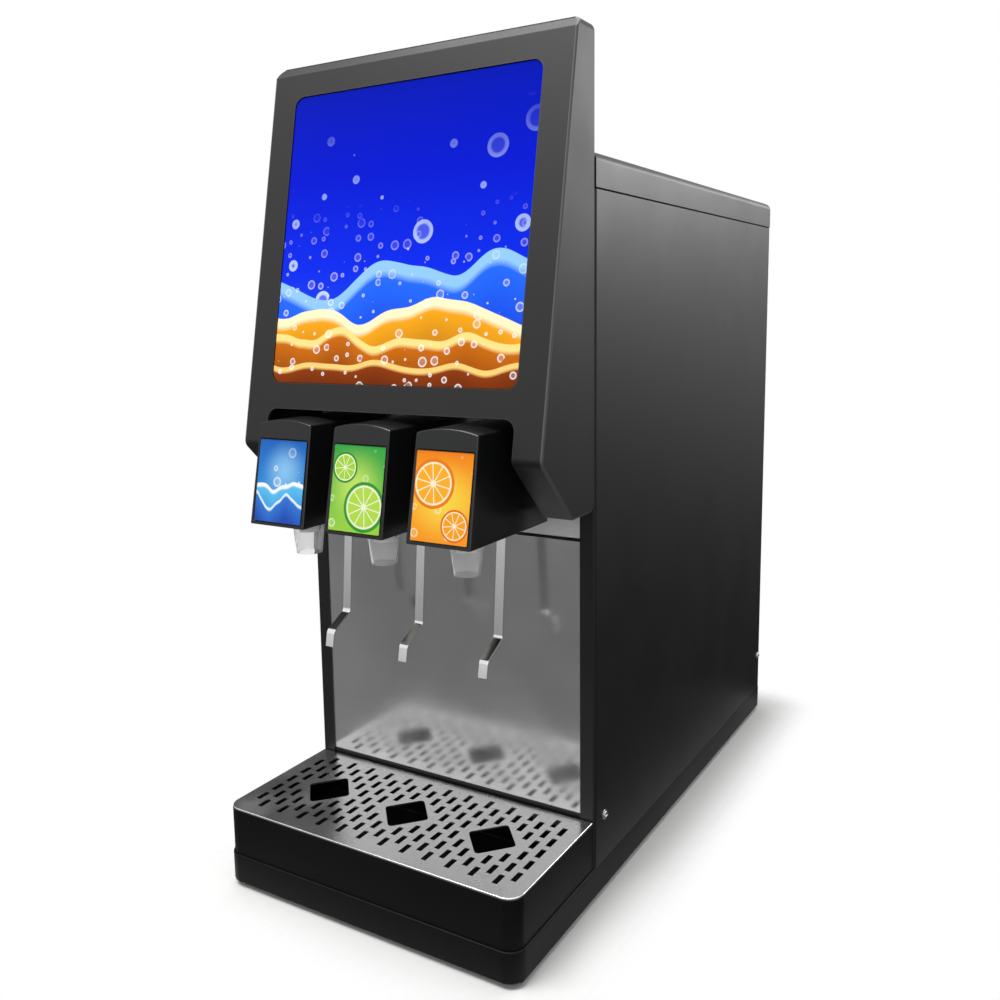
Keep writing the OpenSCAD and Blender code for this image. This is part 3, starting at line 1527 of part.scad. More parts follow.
// Housing of the mains switch, with a bezel outside and an axle for the rocker
module switch_housing() {
    w = rocker_w / 2 + bezel;
    h = rocker_h / 2 + bezel;
    color(black_plastic) translate([switch_x, 0, switch_z]) {
        difference() {
            union() {
                box([-w + fit_gap / 2, rear_panel_y - switch_depth, -h + fit_gap / 2],
                    [w - fit_gap / 2, cabinet_d, h - fit_gap / 2]);
                box([-w - 2, cabinet_d - sheet_t, -h - 2], [w + 2, cabinet_d + 1, h + 2]);
            }
            box([-rocker_w / 2 - fit_gap, rear_panel_y - switch_depth + 2, -rocker_h / 2 - fit_gap],
                [rocker_w / 2 + fit_gap, cabinet_d + 2, rocker_h / 2 + fit_gap]);
        }
        translate([0, rocker_y, 0]) rod_x(rocker_axle_r, -w + 1, w - 1);
    }
}

// Rocker, pressed in at one end: two faces that meet at a slight angle, bored for its axle
module power_switch() {
    h = rocker_h / 2 - 1;
    color("#a52a24") translate([switch_x, rocker_y, switch_z]) rotate([-rocker_tilt, 0, 0]) difference() {
        across(rocker_w) polygon([[-5, -h + 3], [-5, h - 3], [3.5, h], [2.5, 0], [3.5, -h]]);
        rod_x(rocker_axle_r + running_gap, -rocker_w, rocker_w);
    }
}

placed() plinth();
placed() rubber_feet();
placed() side_panel_left();
placed() side_panel_right();
placed() rear_panel();
placed() top_lid();
placed() front_sill();
placed() splash_panel();
placed() valve_plate();
placed() drip_tray();
placed() drip_grate();
placed() hood();
placed() display_panel();
placed() light_panel();
placed() light_box();
placed() hood_back_plate();
placed() valve_cover(valve_x[0]);  // valve_cover_left
placed() valve_cover(valve_x[1]);  // valve_cover_centre
placed() valve_cover(valve_x[2]);  // valve_cover_right
placed() flavour_label(valve_x[0], "#2f7fd0");  // flavour_label_left
placed() flavour_label(valve_x[1], "#3fa535");  // flavour_label_centre
placed() flavour_label(valve_x[2], "#f08a24");  // flavour_label_right
placed() valve_body(valve_x[0]);  // valve_body_left
placed() valve_body(valve_x[1]);  // valve_body_centre
placed() valve_body(valve_x[2]);  // valve_body_right
placed() nozzle(valve_x[0]);  // nozzle_left
placed() nozzle(valve_x[1]);  // nozzle_centre
placed() nozzle(valve_x[2]);  // nozzle_right
placed() lever(valve_x[0]);  // lever_left
placed() lever(valve_x[1]);  // lever_centre
placed() lever(valve_x[2]);  // lever_right
placed() switch_button(valve_x[0]);  // switch_button_left
placed() switch_button(valve_x[1]);  // switch_button_centre
placed() switch_button(valve_x[2]);  // switch_button_right
placed() solenoids();
placed() diffusers();
placed() lever_pins();
placed() microswitches();
placed() bath_shelf();
placed() bath_tank();
placed() product_hoses();
placed() evaporator_coil();
placed() product_coils();
placed() carbonator();
placed() agitator_bridge();
placed() agitator_motor();
placed() agitator();
placed() compressor();
placed() compressor_grommets();
placed() condenser();
placed() refrigerant_lines();
placed() fan_shroud();
placed() fan_motor();
placed() fan_blade();
placed() carbonator_pump();
placed() power_supply();
placed() inlet_fittings();
placed() cord_gland();
placed() switch_housing();
placed() power_switch();
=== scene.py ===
"""Looks for the three-valve countertop soda dispenser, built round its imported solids.

Lengths are in m, but in mm where a name ends in mm or a comment or a docstring says so.
"""

import math

import bmesh
import bpy
from mathutils import Matrix, Vector


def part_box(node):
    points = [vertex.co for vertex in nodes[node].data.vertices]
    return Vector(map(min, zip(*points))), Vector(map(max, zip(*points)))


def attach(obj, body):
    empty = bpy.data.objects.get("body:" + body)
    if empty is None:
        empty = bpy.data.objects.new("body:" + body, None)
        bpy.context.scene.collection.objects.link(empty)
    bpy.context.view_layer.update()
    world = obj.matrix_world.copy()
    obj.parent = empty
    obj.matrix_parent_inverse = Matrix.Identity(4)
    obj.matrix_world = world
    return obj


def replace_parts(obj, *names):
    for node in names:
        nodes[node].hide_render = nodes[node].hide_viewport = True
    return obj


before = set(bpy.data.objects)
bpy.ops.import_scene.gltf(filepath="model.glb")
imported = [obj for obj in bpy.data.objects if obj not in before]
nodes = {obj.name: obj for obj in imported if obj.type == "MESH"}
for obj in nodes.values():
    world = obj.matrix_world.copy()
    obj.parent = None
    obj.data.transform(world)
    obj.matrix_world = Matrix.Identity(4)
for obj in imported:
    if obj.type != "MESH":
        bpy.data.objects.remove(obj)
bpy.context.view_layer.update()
scene = bpy.context.scene
MM = 0.001

# Places and lengths of the part in mm that the looks follow, and its face's lean
VALVES = {"left": -85.7, "centre": 0.0, "right": 85.7}
FACE_LEAN = math.radians(10.85)
DISPLAY_H, LABEL_H = 280, 73
HOOD_SIDE, HOOD_TOP = 158.5, 761.0
GRATE_LOW, GRATE_HIGH = (Vector(c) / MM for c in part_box("drip_grate"))
GRATE_CORNER = 18.0
BATH_Y = 30.0
CONDENSER_STUB, CONDENSER_W = 3, 136
HOSE_START, HOSE_Z, HOSE_SPREAD = -184.5, 383.9, 12
LID_LOW, LID_HIGH = (Vector(c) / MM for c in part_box("top_lid"))
LID_RAIL = 8.0
SIDE_FACE, SIDE_SCREWS_Y, SIDE_SCREW_Z = 160, (-177.6, 314.0), 77.8
REAR_FACE, REAR_SCREWS_X, REAR_SCREWS_Z = 323, (-148, 148), (60, 200, 340, 480, 618)

# The photograph's viewpoint: place in m, yaw, pitch and roll in degrees, and the lens of a square frame
CAMERA_PLACE = Vector((0.51934, -0.96707, 0.53947))
CAMERA_TURN = (31.422, -8.322, -0.879)
CAMERA_SHIFT = (0.01423, -0.04217)
SENSOR_MM = 36
FOCAL_SHARE = 0.990815

# The floor's radius, the half lengths of the object's footprint, and how far beyond it the floor fades out
FLOOR_RADIUS = 2.0
FOOTPRINT_HALF = (0.16, 0.33, 0)
FLOOR_FADE = 0.075

# Plastics and paint: size of handled patches, their swing in roughness, and radius of the corners that are
# painted lighter, partly as wear and partly as painted highlight
PATCH_MM = 70
GLOSS_SWING = 0.025
WEAR_AND_HIGHLIGHT_MM = 1.2
# Metals: how far the lines are drawn out, and the size of wiping marks
LINE_STRETCH = 0.02
WIPE_MM = 45
# Most of a noise's values lie between these
NOISE_LOW, NOISE_HIGH = 0.3, 0.7
PLASTIC_IOR = 1.5


# Camera and lamps

def photo_camera():
    """The photograph's viewpoint: its place, its heading and its slight roll."""
    yaw, pitch, roll = (math.radians(a) for a in CAMERA_TURN)
    ahead = Vector((-math.sin(yaw) * math.cos(pitch), math.cos(yaw) * math.cos(pitch), math.sin(pitch)))
    level = Vector((math.cos(yaw), math.sin(yaw), 0))
    above = level.cross(ahead)
    right = math.cos(roll) * level + math.sin(roll) * above
    up = math.cos(roll) * above - math.sin(roll) * level
    lens = bpy.data.cameras.new("photo_camera")
    lens.sensor_width = SENSOR_MM
    lens.lens = SENSOR_MM * FOCAL_SHARE
    lens.shift_x, lens.shift_y = CAMERA_SHIFT
    lens.clip_start = 0.01
    camera = bpy.data.objects.new("photo_camera", lens)
    camera.matrix_world = Matrix.LocRotScale(
        CAMERA_PLACE, Matrix((right, up, -ahead)).transposed(), None)
    scene.collection.objects.link(camera)
    scene.camera = camera


def softbox(name, place, aim, width, height, power):
    """A studio lamp behind cloth, turned to its aim."""
    lamp = bpy.data.lights.new(name, "AREA")
    lamp.shape = "RECTANGLE"
    lamp.size, lamp.size_y = width, height
    lamp.energy = power
    holder = bpy.data.objects.new(name, lamp)
    holder.location = place
    holder.rotation_euler = (Vector(aim) - Vector(place)).to_track_quat("-Z", "Y").to_euler()
    scene.collection.objects.link(holder)


# Node tools

def linear(hex_colour, shade=1.0):
    """An sRGB hex colour, darkened by a share, as linear red, green, blue and alpha."""
    parts = [int(hex_colour[i:i + 2], 16) / 255 for i in (1, 3, 5)]
    parts = [c / 12.92 if c <= 0.04045 else ((c + 0.055) / 1.055) ** 2.4 for c in parts]
    return tuple(shade * c for c in parts) + (1.0,)


def grey(value):
    """A plain value as a ramp's colour."""
    return (value, value, value, 1.0)


def put(tree, kind, settings=None):
    """Adds a shader node. Settings hold properties, a ramp's stops, and values or links for its sockets."""
    node = tree.nodes.new("ShaderNode" + kind)
    for name, value in (settings or {}).items():
        if isinstance(value, bpy.types.NodeSocket):
            tree.links.new(value, node.inputs[name])
        elif name == "stops":
            while len(node.color_ramp.elements) < len(value):
                node.color_ramp.elements.new(1.0)
            for element, (place, colour) in zip(node.color_ramp.elements, value):
                element.position = place
                element.color = colour
        elif isinstance(name, str) and hasattr(node, name):
            setattr(node, name, value)
        else:
            node.inputs[name].default_value = value
    return node


def calc(tree, operation, *terms):
    """One step of arithmetic on values."""
    return put(tree, "Math", {"operation": operation, **dict(enumerate(terms))}).outputs[0]


def vector(tree, operation, *terms):
    """One step of vector arithmetic. Lengths, distances and dot products come back as values."""
    node = put(tree, "VectorMath", {"operation": operation, **dict(enumerate(terms))})
    return node.outputs["Value" if operation in ("LENGTH", "DISTANCE", "DOT_PRODUCT") else "Vector"]


def split(tree, source):
    """The X, Y and Z of a vector."""
    return put(tree, "SeparateXYZ", {0: source}).outputs


def span(tree, value, start=0.0, end=1.0, low=0.0, high=1.0, smooth=False):
    """Goes from low to high as a value goes from start to end, and stays there beyond."""
    return put(tree, "MapRange", {
        "interpolation_type": "SMOOTHSTEP" if smooth else "LINEAR", "Value": value,
        "From Min": start, "From Max": end, "To Min": low, "To Max": high}).outputs[0]


def noise(tree, place, size_mm, detail, **more):
    """Cloudy noise with blotches of about size_mm."""
    return put(tree, "TexNoise", {
        "Vector": place, "Scale": 1 / (size_mm * MM), "Detail": detail, **more}).outputs["Fac"]


def shades(tree, value, *stops):
    """A colour that runs through stops of value and colour."""
    return put(tree, "ValToRGB", {"stops": stops, "Fac": value}).outputs["Color"]


def lay(tree, share, under, over):
    """Lays a colour over another by a share."""
    return put(tree, "MixRGB", {"Fac": share, "Color1": under, "Color2": over}).outputs["Color"]


def relief(tree, height, strength, depth_mm):
    """Normals of a surface that is raised by a pattern."""
    return put(tree, "Bump", {
        "Height": height, "Strength": strength, "Distance": depth_mm * MM}).outputs[0]


def new_material(name):
    """A material with an empty tree, and the socket that its patterns are placed by."""
    material = bpy.data.materials.new(name)
    material.use_nodes = True
    tree = material.node_tree
    tree.nodes.clear()
    return material, tree, put(tree, "TexCoord").outputs["Object"]


def close(tree, shader):
    """Joins the shader to the material's output."""
    put(tree, "OutputMaterial", {"Surface": shader.outputs[0]})


def dress(material, *names):
    """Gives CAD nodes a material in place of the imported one."""
    for name in names:
        mesh = nodes[name].data
        mesh.materials.clear()
        mesh.materials.append(material)


def each_valve(stem):
    """The names of a node that each valve has."""
    return [stem + k for k in VALVES]


# Plastics, paints and rubber: a pigment with a fine grain, rubbed smoother in patches

def wear_and_highlight_mask(tree):
    """How far a spot takes the lighter edge colour, partly wear from hands and partly painted highlight: on
    sharp corners, and on faces that are marked for it.
    """
    rounded = put(tree, "Bevel", {"samples": 4, "Radius": WEAR_AND_HIGHLIGHT_MM * MM}).outputs[0]
    turn = vector(tree, "DOT_PRODUCT", rounded, put(tree, "NewGeometry").outputs["Normal"])
    # The lighter edge colour, partly wear and partly painted highlight, starts and ends at these cosines of
    # the turn that the rounding gives
    corner = span(tree, turn, start=0.98, end=0.8, high=0.7)
    marked = put(tree, "Attribute", {"attribute_name": "rubbed"}).outputs["Fac"]
    return calc(tree, "MAXIMUM", corner, marked)


def moulded(name, colour, rough, grain_mm, depth_mm, shine, wear_and_highlight=None):
    """A moulded or painted skin with a fine grain. The colour given for its corners is painted there partly
    as wear and partly as painted highlight.
    """
    material, tree, place = new_material(name)
    grain = noise(tree, place, grain_mm, 2.0, Roughness=0.6)
    patch = noise(tree, place, PATCH_MM, 3.0)
    tone = shades(tree, patch, (NOISE_LOW, linear(colour, 0.88)), (NOISE_HIGH, linear(colour)))
    # Corners and marked faces are painted lighter: partly wear, partly painted highlight
    if wear_and_highlight:
        tone = lay(tree, wear_and_highlight_mask(tree), tone, linear(wear_and_highlight))
    close(tree, put(tree, "BsdfPrincipled", {
        "Base Color": tone, "Specular IOR Level": shine, "IOR": PLASTIC_IOR,
        "Roughness": span(tree, patch, NOISE_LOW, NOISE_HIGH, rough - GLOSS_SWING, rough + GLOSS_SWING),
        "Normal": relief(tree, grain, 0.5, depth_mm)}))
    return material


def clear_plastic(name, colour, rough, ior, see):
    """A clear moulding or hose: it bends light, with faint flow lines in its skin."""
    material, tree, place = new_material(name)
    flow = noise(tree, place, 5, 2.0, Distortion=1.5)
    close(tree, put(tree, "BsdfPrincipled", {
        "Base Color": linear(colour), "Transmission Weight": see, "IOR": ior,
        "Roughness": span(tree, flow, low=rough * 0.6, high=rough * 1.5),
        "Normal": relief(tree, flow, 0.15, 0.05)}))
    return material


# Bare metals: fine lines along the way it was rolled, brushed or drawn, and a faint cloud of handling

def bare_metal(name, colour, rough, line_mm, along=(1, 0, 0), cloud=0.3, relief_mm=0.01, metal=1.0):
    """A metal with fine lines along the axes marked 1. Cloud is how far its gloss varies."""
    material, tree, place = new_material(name)
    lie = put(tree, "Mapping", {
        "Vector": place, "Scale": tuple(LINE_STRETCH if a else 1.0 for a in along)})
    lines = noise(tree, lie.outputs[0], line_mm, 3.0, Roughness=0.7)
    wipe = noise(tree, place, WIPE_MM, 4.0)
    close(tree, put(tree, "BsdfPrincipled", {
        "Base Color": shades(tree, lines, (NOISE_LOW, linear(colour, 0.85)), (0.75, linear(colour))),
        "Metallic": metal,
        "Roughness": span(tree, wipe, NOISE_LOW, NOISE_HIGH, rough * (1 - cloud), rough * (1 + cloud)),
        "Normal": relief(tree, lines, 0.25, relief_mm)}))
    return material


def spangled_zinc():
    """Hot-dip galvanised sheet: flat grey crystals a few mm across, each with its own shade and gloss."""
    material, tree, place = new_material("galvanised_sheet")
    crystal = put(tree, "TexVoronoi", {"Vector": place, "Scale": 1 / (7 * MM)}).outputs["Color"]
    close(tree, put(tree, "BsdfPrincipled", {
        "Base Color": shades(tree, crystal, (0.0, linear("#878d91")), (1.0, linear("#b4babd"))),
        "Metallic": 1.0, "Roughness": span(tree, crystal, low=0.3, high=0.5)}))
    return material


def finned_block(node, stub_mm, width_mm):
    """Dull aluminium fins and end plates across a width, and copper bends outside them."""
    material, tree, place = new_material("aluminium_fins_on_copper")
    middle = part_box(node)[0].x + (stub_mm + width_mm / 2) * MM
    out = calc(tree, "ABSOLUTE", calc(tree, "SUBTRACT", split(tree, place)["X"], middle))
    plate_mm, blur_mm = width_mm / 2 + 1, 0.1
    bend = span(tree, out, start=plate_mm * MM, end=(plate_mm + blur_mm) * MM)
    wipe = noise(tree, place, 12, 3.0)
    fins = shades(tree, wipe, (NOISE_LOW, linear("#9da1a4")), (NOISE_HIGH, linear("#c6c9cb")))
    close(tree, put(tree, "BsdfPrincipled", {
        "Base Color": lay(tree, bend, fins, linear("#b8693a")), "Metallic": 1.0, "Roughness": 0.36}))
    return material


# Printed sheets: each is drawn in mm from the middle of its foot

def foot_of(name):
    """Middle of a node's lower edge."""
    low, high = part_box(name)
    return Vector(((low.x + high.x) / 2, 0, low.z))


def print_ground(tree, place, foot, height_mm, *stops):
    """The print's own coordinates in mm, and a ground that changes colour from foot to head."""
    slope = math.cos(FACE_LEAN)
    sheet = put(tree, "Mapping", {
        "Vector": place, "Location": (-foot.x / MM, 0, -foot.z / MM / slope),
        "Scale": (1 / MM, 0, 1 / MM / slope)})
    across, _, up = split(tree, sheet.outputs[0])
    inks = ((at, linear(ink)) for at, ink in stops)
    return across, up, shades(tree, span(tree, up, end=height_mm), *inks)


def print_waves(tree, picture, across, up, *waves):
    """Rolling liquid, back to front: each wave has a pale crest and darkens with depth.

    A wave is its height, swing, length and shift in mm, then the colours of crest, body and depth.
    """
    for height, swing, length, shift, crest, body, deep in waves:
        roll = put(tree, "TexNoise", {
            "noise_dimensions": "1D", "Scale": 1 / length, "Detail": 0.6,
            "W": calc(tree, "ADD", across, shift)}).outputs["Fac"]
        line = calc(tree, "MULTIPLY_ADD", roll, 2 * swing, height - swing)
        below = calc(tree, "SUBTRACT", line, up)
        tone = shades(tree, span(tree, below, end=2.2 * swing), (0.0, linear(crest)), (0.09, linear(crest)),
                      (0.16, linear(body)), (1.0, linear(deep)))
        picture = lay(tree, span(tree, below, -0.3, 0.3), picture, tone)
    return picture


def print_bubbles(tree, picture, across, up, spacing, low, high, ink, strength):
    """Round bubbles of mixed size, drawn as rings with a lighter middle, thinning out from low to high."""
    spot = put(tree, "CombineXYZ", {0: across, 1: up}).outputs[0]
    cell = put(tree, "TexVoronoi", {
        "voronoi_dimensions": "2D", "Vector": spot, "Scale": 1 / spacing, "Randomness": 0.85})
    chance = put(tree, "SeparateColor", {0: cell.outputs["Color"]}).outputs[0]
    size = span(tree, chance, start=0.35, high=0.36)
    skin = shades(tree, calc(tree, "SUBTRACT", size, cell.outputs["Distance"]), (0.0, grey(0.0)),
                  (0.02, grey(1.0)), (0.09, grey(0.9)), (0.14, grey(0.18)), (1.0, grey(0.1)))
    show = calc(tree, "MULTIPLY", skin, span(tree, up, low, high, strength, 0.0))
    return lay(tree, show, picture, linear(ink))


def print_citrus(tree, picture, across, up, middle, radius, parts, rind, pith, flesh):
    """A cut citrus wheel: rind, pale pith, and wedges of flesh round a small core."""
    spot = put(tree, "CombineXYZ", {0: across, 1: up}).outputs[0]
    arm = vector(tree, "SUBTRACT", spot, (*middle, 0))
    out = calc(tree, "DIVIDE", vector(tree, "LENGTH", arm), radius)
    side = split(tree, arm)
    angle = calc(tree, "ARCTAN2", side["Y"], side["X"])
    # Whole wedges and a bit are added, to stay above zero and to turn the wheel
    wedge = calc(tree, "MULTIPLY_ADD", angle, parts / math.tau, 20.3)
    wall = calc(tree, "MULTIPLY", calc(tree, "PINGPONG", wedge, 0.5), out)
    ring = shades(tree, out, (0.12, grey(0.0)), (0.15, grey(1.0)), (0.78, grey(1.0)), (0.81, grey(0.0)))
    juicy = calc(tree, "MULTIPLY", span(tree, wall, 0.025, 0.05), ring)
    peel = shades(tree, out, (0.86, linear(pith)), (0.89, linear(rind)))
    wheel = lay(tree, juicy, peel, linear(flesh))
    return lay(tree, span(tree, out, 1.0, 1.015, 1.0, 0.0), picture, wheel)


def print_glow(tree, picture, across, up, middle, radius, ink, strength):
    """A soft round glow."""
    spot = put(tree, "CombineXYZ", {0: across, 1: up}).outputs[0]
    reach = vector(tree, "DISTANCE", spot, (*middle, 0))
    return lay(tree, span(tree, reach, 0.0, radius, strength, 0.0, smooth=True), picture, linear(ink))


def display_print():
    """Print behind clear acrylic, lit from behind: royal blue, amber waves with pale crests, and bubbles."""
    material, tree, place = new_material("backlit_acrylic_print")
    across, up, picture = print_ground(
        tree, place, foot_of("display_panel"), DISPLAY_H,
        (0.0, "#2a58ea"), (0.4, "#0a2ae2"), (0.7, "#0317c4"), (1.0, "#0215a2"))
    picture = print_bubbles(
        tree, picture, across, up, spacing=34, low=90, high=250, ink="#cfe3ff", strength=0.85)
    picture = print_waves(
        tree, picture, across, up,
        (104, 44, 95, 40, "#8fc4ff", "#2467f2", "#0a22d8"),
        (76, 34, 80, 310, "#fff0c4", "#f2a51c", "#8a3d0a"),
        (49, 26, 66, 560, "#ffe08a", "#c96a10", "#5a1f08"),
        (27, 18, 74, 730, "#ffd27a", "#8c3a0c", "#351006"))
    picture = print_bubbles(
        tree, picture, across, up, spacing=13, low=40, high=170, ink="#ffffff", strength=0.7)
    close(tree, put(tree, "BsdfPrincipled", {
        "Base Color": picture, "Emission Color": picture, "Emission Strength": 0.06,
        "Roughness": 0.07, "IOR": 1.49, "Specular IOR Level": 0.05}))
    return material


def label_print(name, node, art, *stops):
    """Gloss printed card under a clear film, with art on a ground of a few colours."""
    material, tree, place = new_material(name)
    across, up, picture = print_ground(tree, place, foot_of(node), LABEL_H, *stops)
    dots = noise(tree, place, 0.6, 1.0)
    close(tree, put(tree, "BsdfPrincipled", {
        "Base Color": art(tree, picture, across, up), "Roughness": span(tree, dots, low=0.14, high=0.26),
        "IOR": PLASTIC_IOR, "Specular IOR Level": 0.2}))
    return material


def cola_art(tree, picture, across, up):
    """Bubbles over two blue waves."""
    picture = print_glow(
        tree, picture, across, up, middle=(4, 46), radius=30, ink="#9fdcff", strength=0.7)
    picture = print_bubbles(
        tree, picture, across, up, spacing=15, low=20, high=90, ink="#f2faff", strength=0.95)
    return print_waves(
        tree, picture, across, up,
        (34, 13, 24, 90, "#ffffff", "#5cc4f6", "#2a86dc"),
        (20, 10, 20, 300, "#e6f6ff", "#2f78d8", "#1c4cb4"))


def lime_art(tree, picture, across, up):
    """Two lime wheels in a green glow."""
    picture = print_glow(
        tree, picture, across, up, middle=(-2, 38), radius=38, ink="#d6f06a", strength=0.8)
    picture = print_bubbles(
        tree, picture, across, up, spacing=11, low=10, high=90, ink="#f4ffd8", strength=0.8)
    picture = print_citrus(
        tree, picture, across, up, middle=(9, 22), radius=21, parts=10,
        rind="#2f9a2a", pith="#f3fbd6", flesh="#b6e04c")
    return print_citrus(
        tree, picture, across, up, middle=(-14, 54), radius=13, parts=9,
        rind="#2a8f2c", pith="#f3fbd6", flesh="#a6d83e")


def orange_art(tree, picture, across, up):
    """Two orange wheels in a yellow glow."""
    picture = print_glow(
        tree, picture, across, up, middle=(2, 34), radius=38, ink="#ffe14a", strength=0.85)
    picture = print_bubbles(
        tree, picture, across, up, spacing=11, low=0, high=90, ink="#fff6cc", strength=0.85)
    picture = print_citrus(
        tree, picture, across, up, middle=(-9, 47), radius=20, parts=10,
        rind="#ef7d10", pith="#fff3d0", flesh="#ffb125")
    return print_citrus(
        tree, picture, across, up, middle=(14, 15), radius=13, parts=9,
        rind="#ee7410", pith="#fff3d0", flesh="#ffa51c")


# Surroundings

def studio_world():
    """White to the eye, and even light for matt surfaces. Mirrors see a room with dark and pale sides."""
    world = bpy.data.worlds.new("studio")
    world.use_nodes = True
    scene.world = world
    sky = world.node_tree
    sky.nodes.clear()
    outward = put(sky, "TexCoord").outputs["Generated"]
    heading = split(sky, outward)
    # Behind the object a white wall to the right, dark ground in front of it, and a dark corner to the left
    behind = span(sky, heading["Y"], start=-0.2, end=0.5, smooth=True)
    beside = span(sky, heading["X"], start=-0.5, end=0.0, smooth=True)
    wall = span(sky, heading["Z"], start=-0.27, end=0.19, low=0.02, smooth=True)
    back = span(sky, beside, low=0.08, high=wall)
    # On the camera's side a dim room under a pale ceiling
    room = span(sky, heading["Z"], start=-0.3, end=0.19, low=0.2, high=0.95, smooth=True)
    around = span(sky, behind, low=room, high=back)
    # A black card hangs up on the left and darkens the left lever's slope
    toward = vector(sky, "DOT_PRODUCT", outward, (-0.653, 0.174, 0.738))
    card = span(sky, toward, start=0.95, end=0.985, low=1.0, high=0.06)
    mirrored = calc(sky, "MULTIPLY", around, card)
    ray = put(sky, "LightPath").outputs
    seen = calc(sky, "MAXIMUM", ray["Is Camera Ray"], ray["Is Transmission Ray"])
    shine = span(sky, ray["Is Glossy Ray"], low=0.24, high=mirrored)
    air = put(sky, "Background", {
        "Color": linear("#ffffff"), "Strength": calc(sky, "MAXIMUM", shine, seen)})
    put(sky, "OutputWorld", {"Surface": air.outputs[0]})


def fading_floor():
    """Pale floor that fades out into the white a hand's breadth from the object."""
    shape = bmesh.new()
    bmesh.ops.create_circle(shape, cap_ends=True, segments=96, radius=FLOOR_RADIUS)
    mesh = bpy.data.meshes.new("floor")
    shape.to_mesh(mesh)
    shape.free()
    floor = bpy.data.objects.new("floor", mesh)
    scene.collection.objects.link(floor)
    paint, tree, place = new_material("painted_floor")
    past = vector(tree, "SUBTRACT", vector(tree, "ABSOLUTE", place), FOOTPRINT_HALF)
    reach = vector(tree, "LENGTH", vector(tree, "MAXIMUM", past, (0, 0, 0)))
    matt_white = put(tree, "BsdfDiffuse", {"Color": linear("#e2e2e1")})
    gone = put(tree, "BsdfTransparent")
    close(tree, put(tree, "MixShader", {
        0: span(tree, reach, end=FLOOR_FADE, smooth=True), 1: matt_white.outputs[0], 2: gone.outputs[0]}))
    mesh.materials.append(paint)


# Shaping tools

def all_smooth():
    """A modifier group that shades every face smooth."""
    group = bpy.data.node_groups.new("all_smooth", "GeometryNodeTree")
    for way in ("INPUT", "OUTPUT"):
        group.interface.new_socket("Geometry", in_out=way, socket_type="NodeSocketGeometry")
    come, smooth, go = (group.nodes.new(k) for k in (
        "NodeGroupInput", "GeometryNodeSetShadeSmooth", "NodeGroupOutput"))
    group.links.new(come.outputs[0], smooth.inputs["Geometry"])
    group.links.new(smooth.outputs[0], go.inputs[0])
    return group


SMOOTH = all_smooth()
# How far large faces rule the shading at their edges
FACE_WEIGHT = 80
# Limits for welding, flattening and rounding a CAD mesh, by modifiers or in a copy
WELD_MM, FLAT, SHARP = 0.08, math.radians(0.4), math.radians(30)
COPY_WELD_MM, COPY_FLAT, COPY_SHARP, COPY_CREASE = 0.03, math.radians(0.3), math.radians(25), math.radians(32)


def round_edges(piece, radius_mm, steps=3):
    """Rounds every sharp edge of a piece, as its mould or press tool does."""
    weld = piece.modifiers.new("weld", "WELD")
    weld.merge_threshold = WELD_MM * MM
    flat = piece.modifiers.new("flat", "DECIMATE")
    flat.decimate_type = "DISSOLVE"
    flat.angle_limit = FLAT
    edge = piece.modifiers.new("edge", "BEVEL")
    edge.width = radius_mm * MM
    edge.segments = steps
    edge.limit_method = "ANGLE"
    edge.angle_limit = SHARP
    edge.miter_outer = "MITER_ARC"
    edge.use_clamp_overlap = False
    smooth = piece.modifiers.new("smooth", "NODES")
    smooth.node_group = SMOOTH
    shade = piece.modifiers.new("shade", "WEIGHTED_NORMAL")
    shade.weight = FACE_WEIGHT


def new_piece(name, shape, material, body):
    """A mesh piece in the row frame that rides on a body."""
    mesh = bpy.data.meshes.new(name)
    bmesh.ops.recalc_face_normals(shape, faces=shape.faces)
    shape.to_mesh(mesh)
    shape.free()
    mesh.materials.append(material)
    piece = bpy.data.objects.new(name, mesh)
    scene.collection.objects.link(piece)
    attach(piece, body)
    return piece


def softened(name, node, body, radius_mm, outside):
    """A copy of a CAD shell that stands for it, its sharp edges rounded if outside, and the rounding marked
    for the lighter edge colour, which is partly wear and partly painted highlight.
    """
    shape = bmesh.new()
    shape.from_mesh(nodes[node].data)
    bmesh.ops.remove_doubles(shape, verts=shape.verts[:], dist=COPY_WELD_MM * MM)
    bmesh.ops.dissolve_limit(shape, angle_limit=COPY_FLAT, verts=shape.verts[:], edges=shape.edges[:])
    rubbed = shape.faces.layers.float.new("rubbed")
    edges = [e for e in shape.edges if e.calc_face_angle_signed(0) > COPY_SHARP
             and outside((e.verts[0].co + e.verts[1].co) / 2 / MM, [f.normal for f in e.link_faces])]
    fillet = bmesh.ops.bevel(shape, geom=edges, offset=radius_mm * MM, offset_type="OFFSET", segments=4,
                             profile=0.5, affect="EDGES")
    # The rounding is marked for the lighter edge colour: partly wear, partly painted highlight
    for face in fillet["faces"]:
        face[rubbed] = 1.0
    for face in shape.faces:
        face.smooth = True
    for edge in shape.edges:
        edge.smooth = edge.calc_face_angle(0) < COPY_CREASE
    piece = new_piece(name, shape, nodes[node].data.materials[0], body)
    shade = piece.modifiers.new("shade", "WEIGHTED_NORMAL")
    shade.keep_sharp = True
    shade.weight = FACE_WEIGHT
    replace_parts(piece, node)


def hood_rim(middle, normals):
    """Whether an edge runs from the hood's face, bevel or chin to its sides or top."""
    forward = any(n.y < -0.05 or n.z < -0.5 for n in normals)
    square = any(abs(n.y) < 0.01 for n in normals)
    return forward and square and (abs(middle.x) > HOOD_SIDE or middle.z > HOOD_TOP)


def grate_rim(middle, normals):
    """Whether an edge is on top of the grate and runs round its front and sides."""
    past = Vector((max(abs(middle.x) - GRATE_HIGH.x + GRATE_CORNER, 0),
                   max(GRATE_LOW.y + GRATE_CORNER - middle.y, 0)))
    on_top = middle.z > GRATE_HIGH.z - 0.05
    at_rim = past.length > GRATE_CORNER - 3
    return on_top and at_rim and middle.y < GRATE_HIGH.y - 1


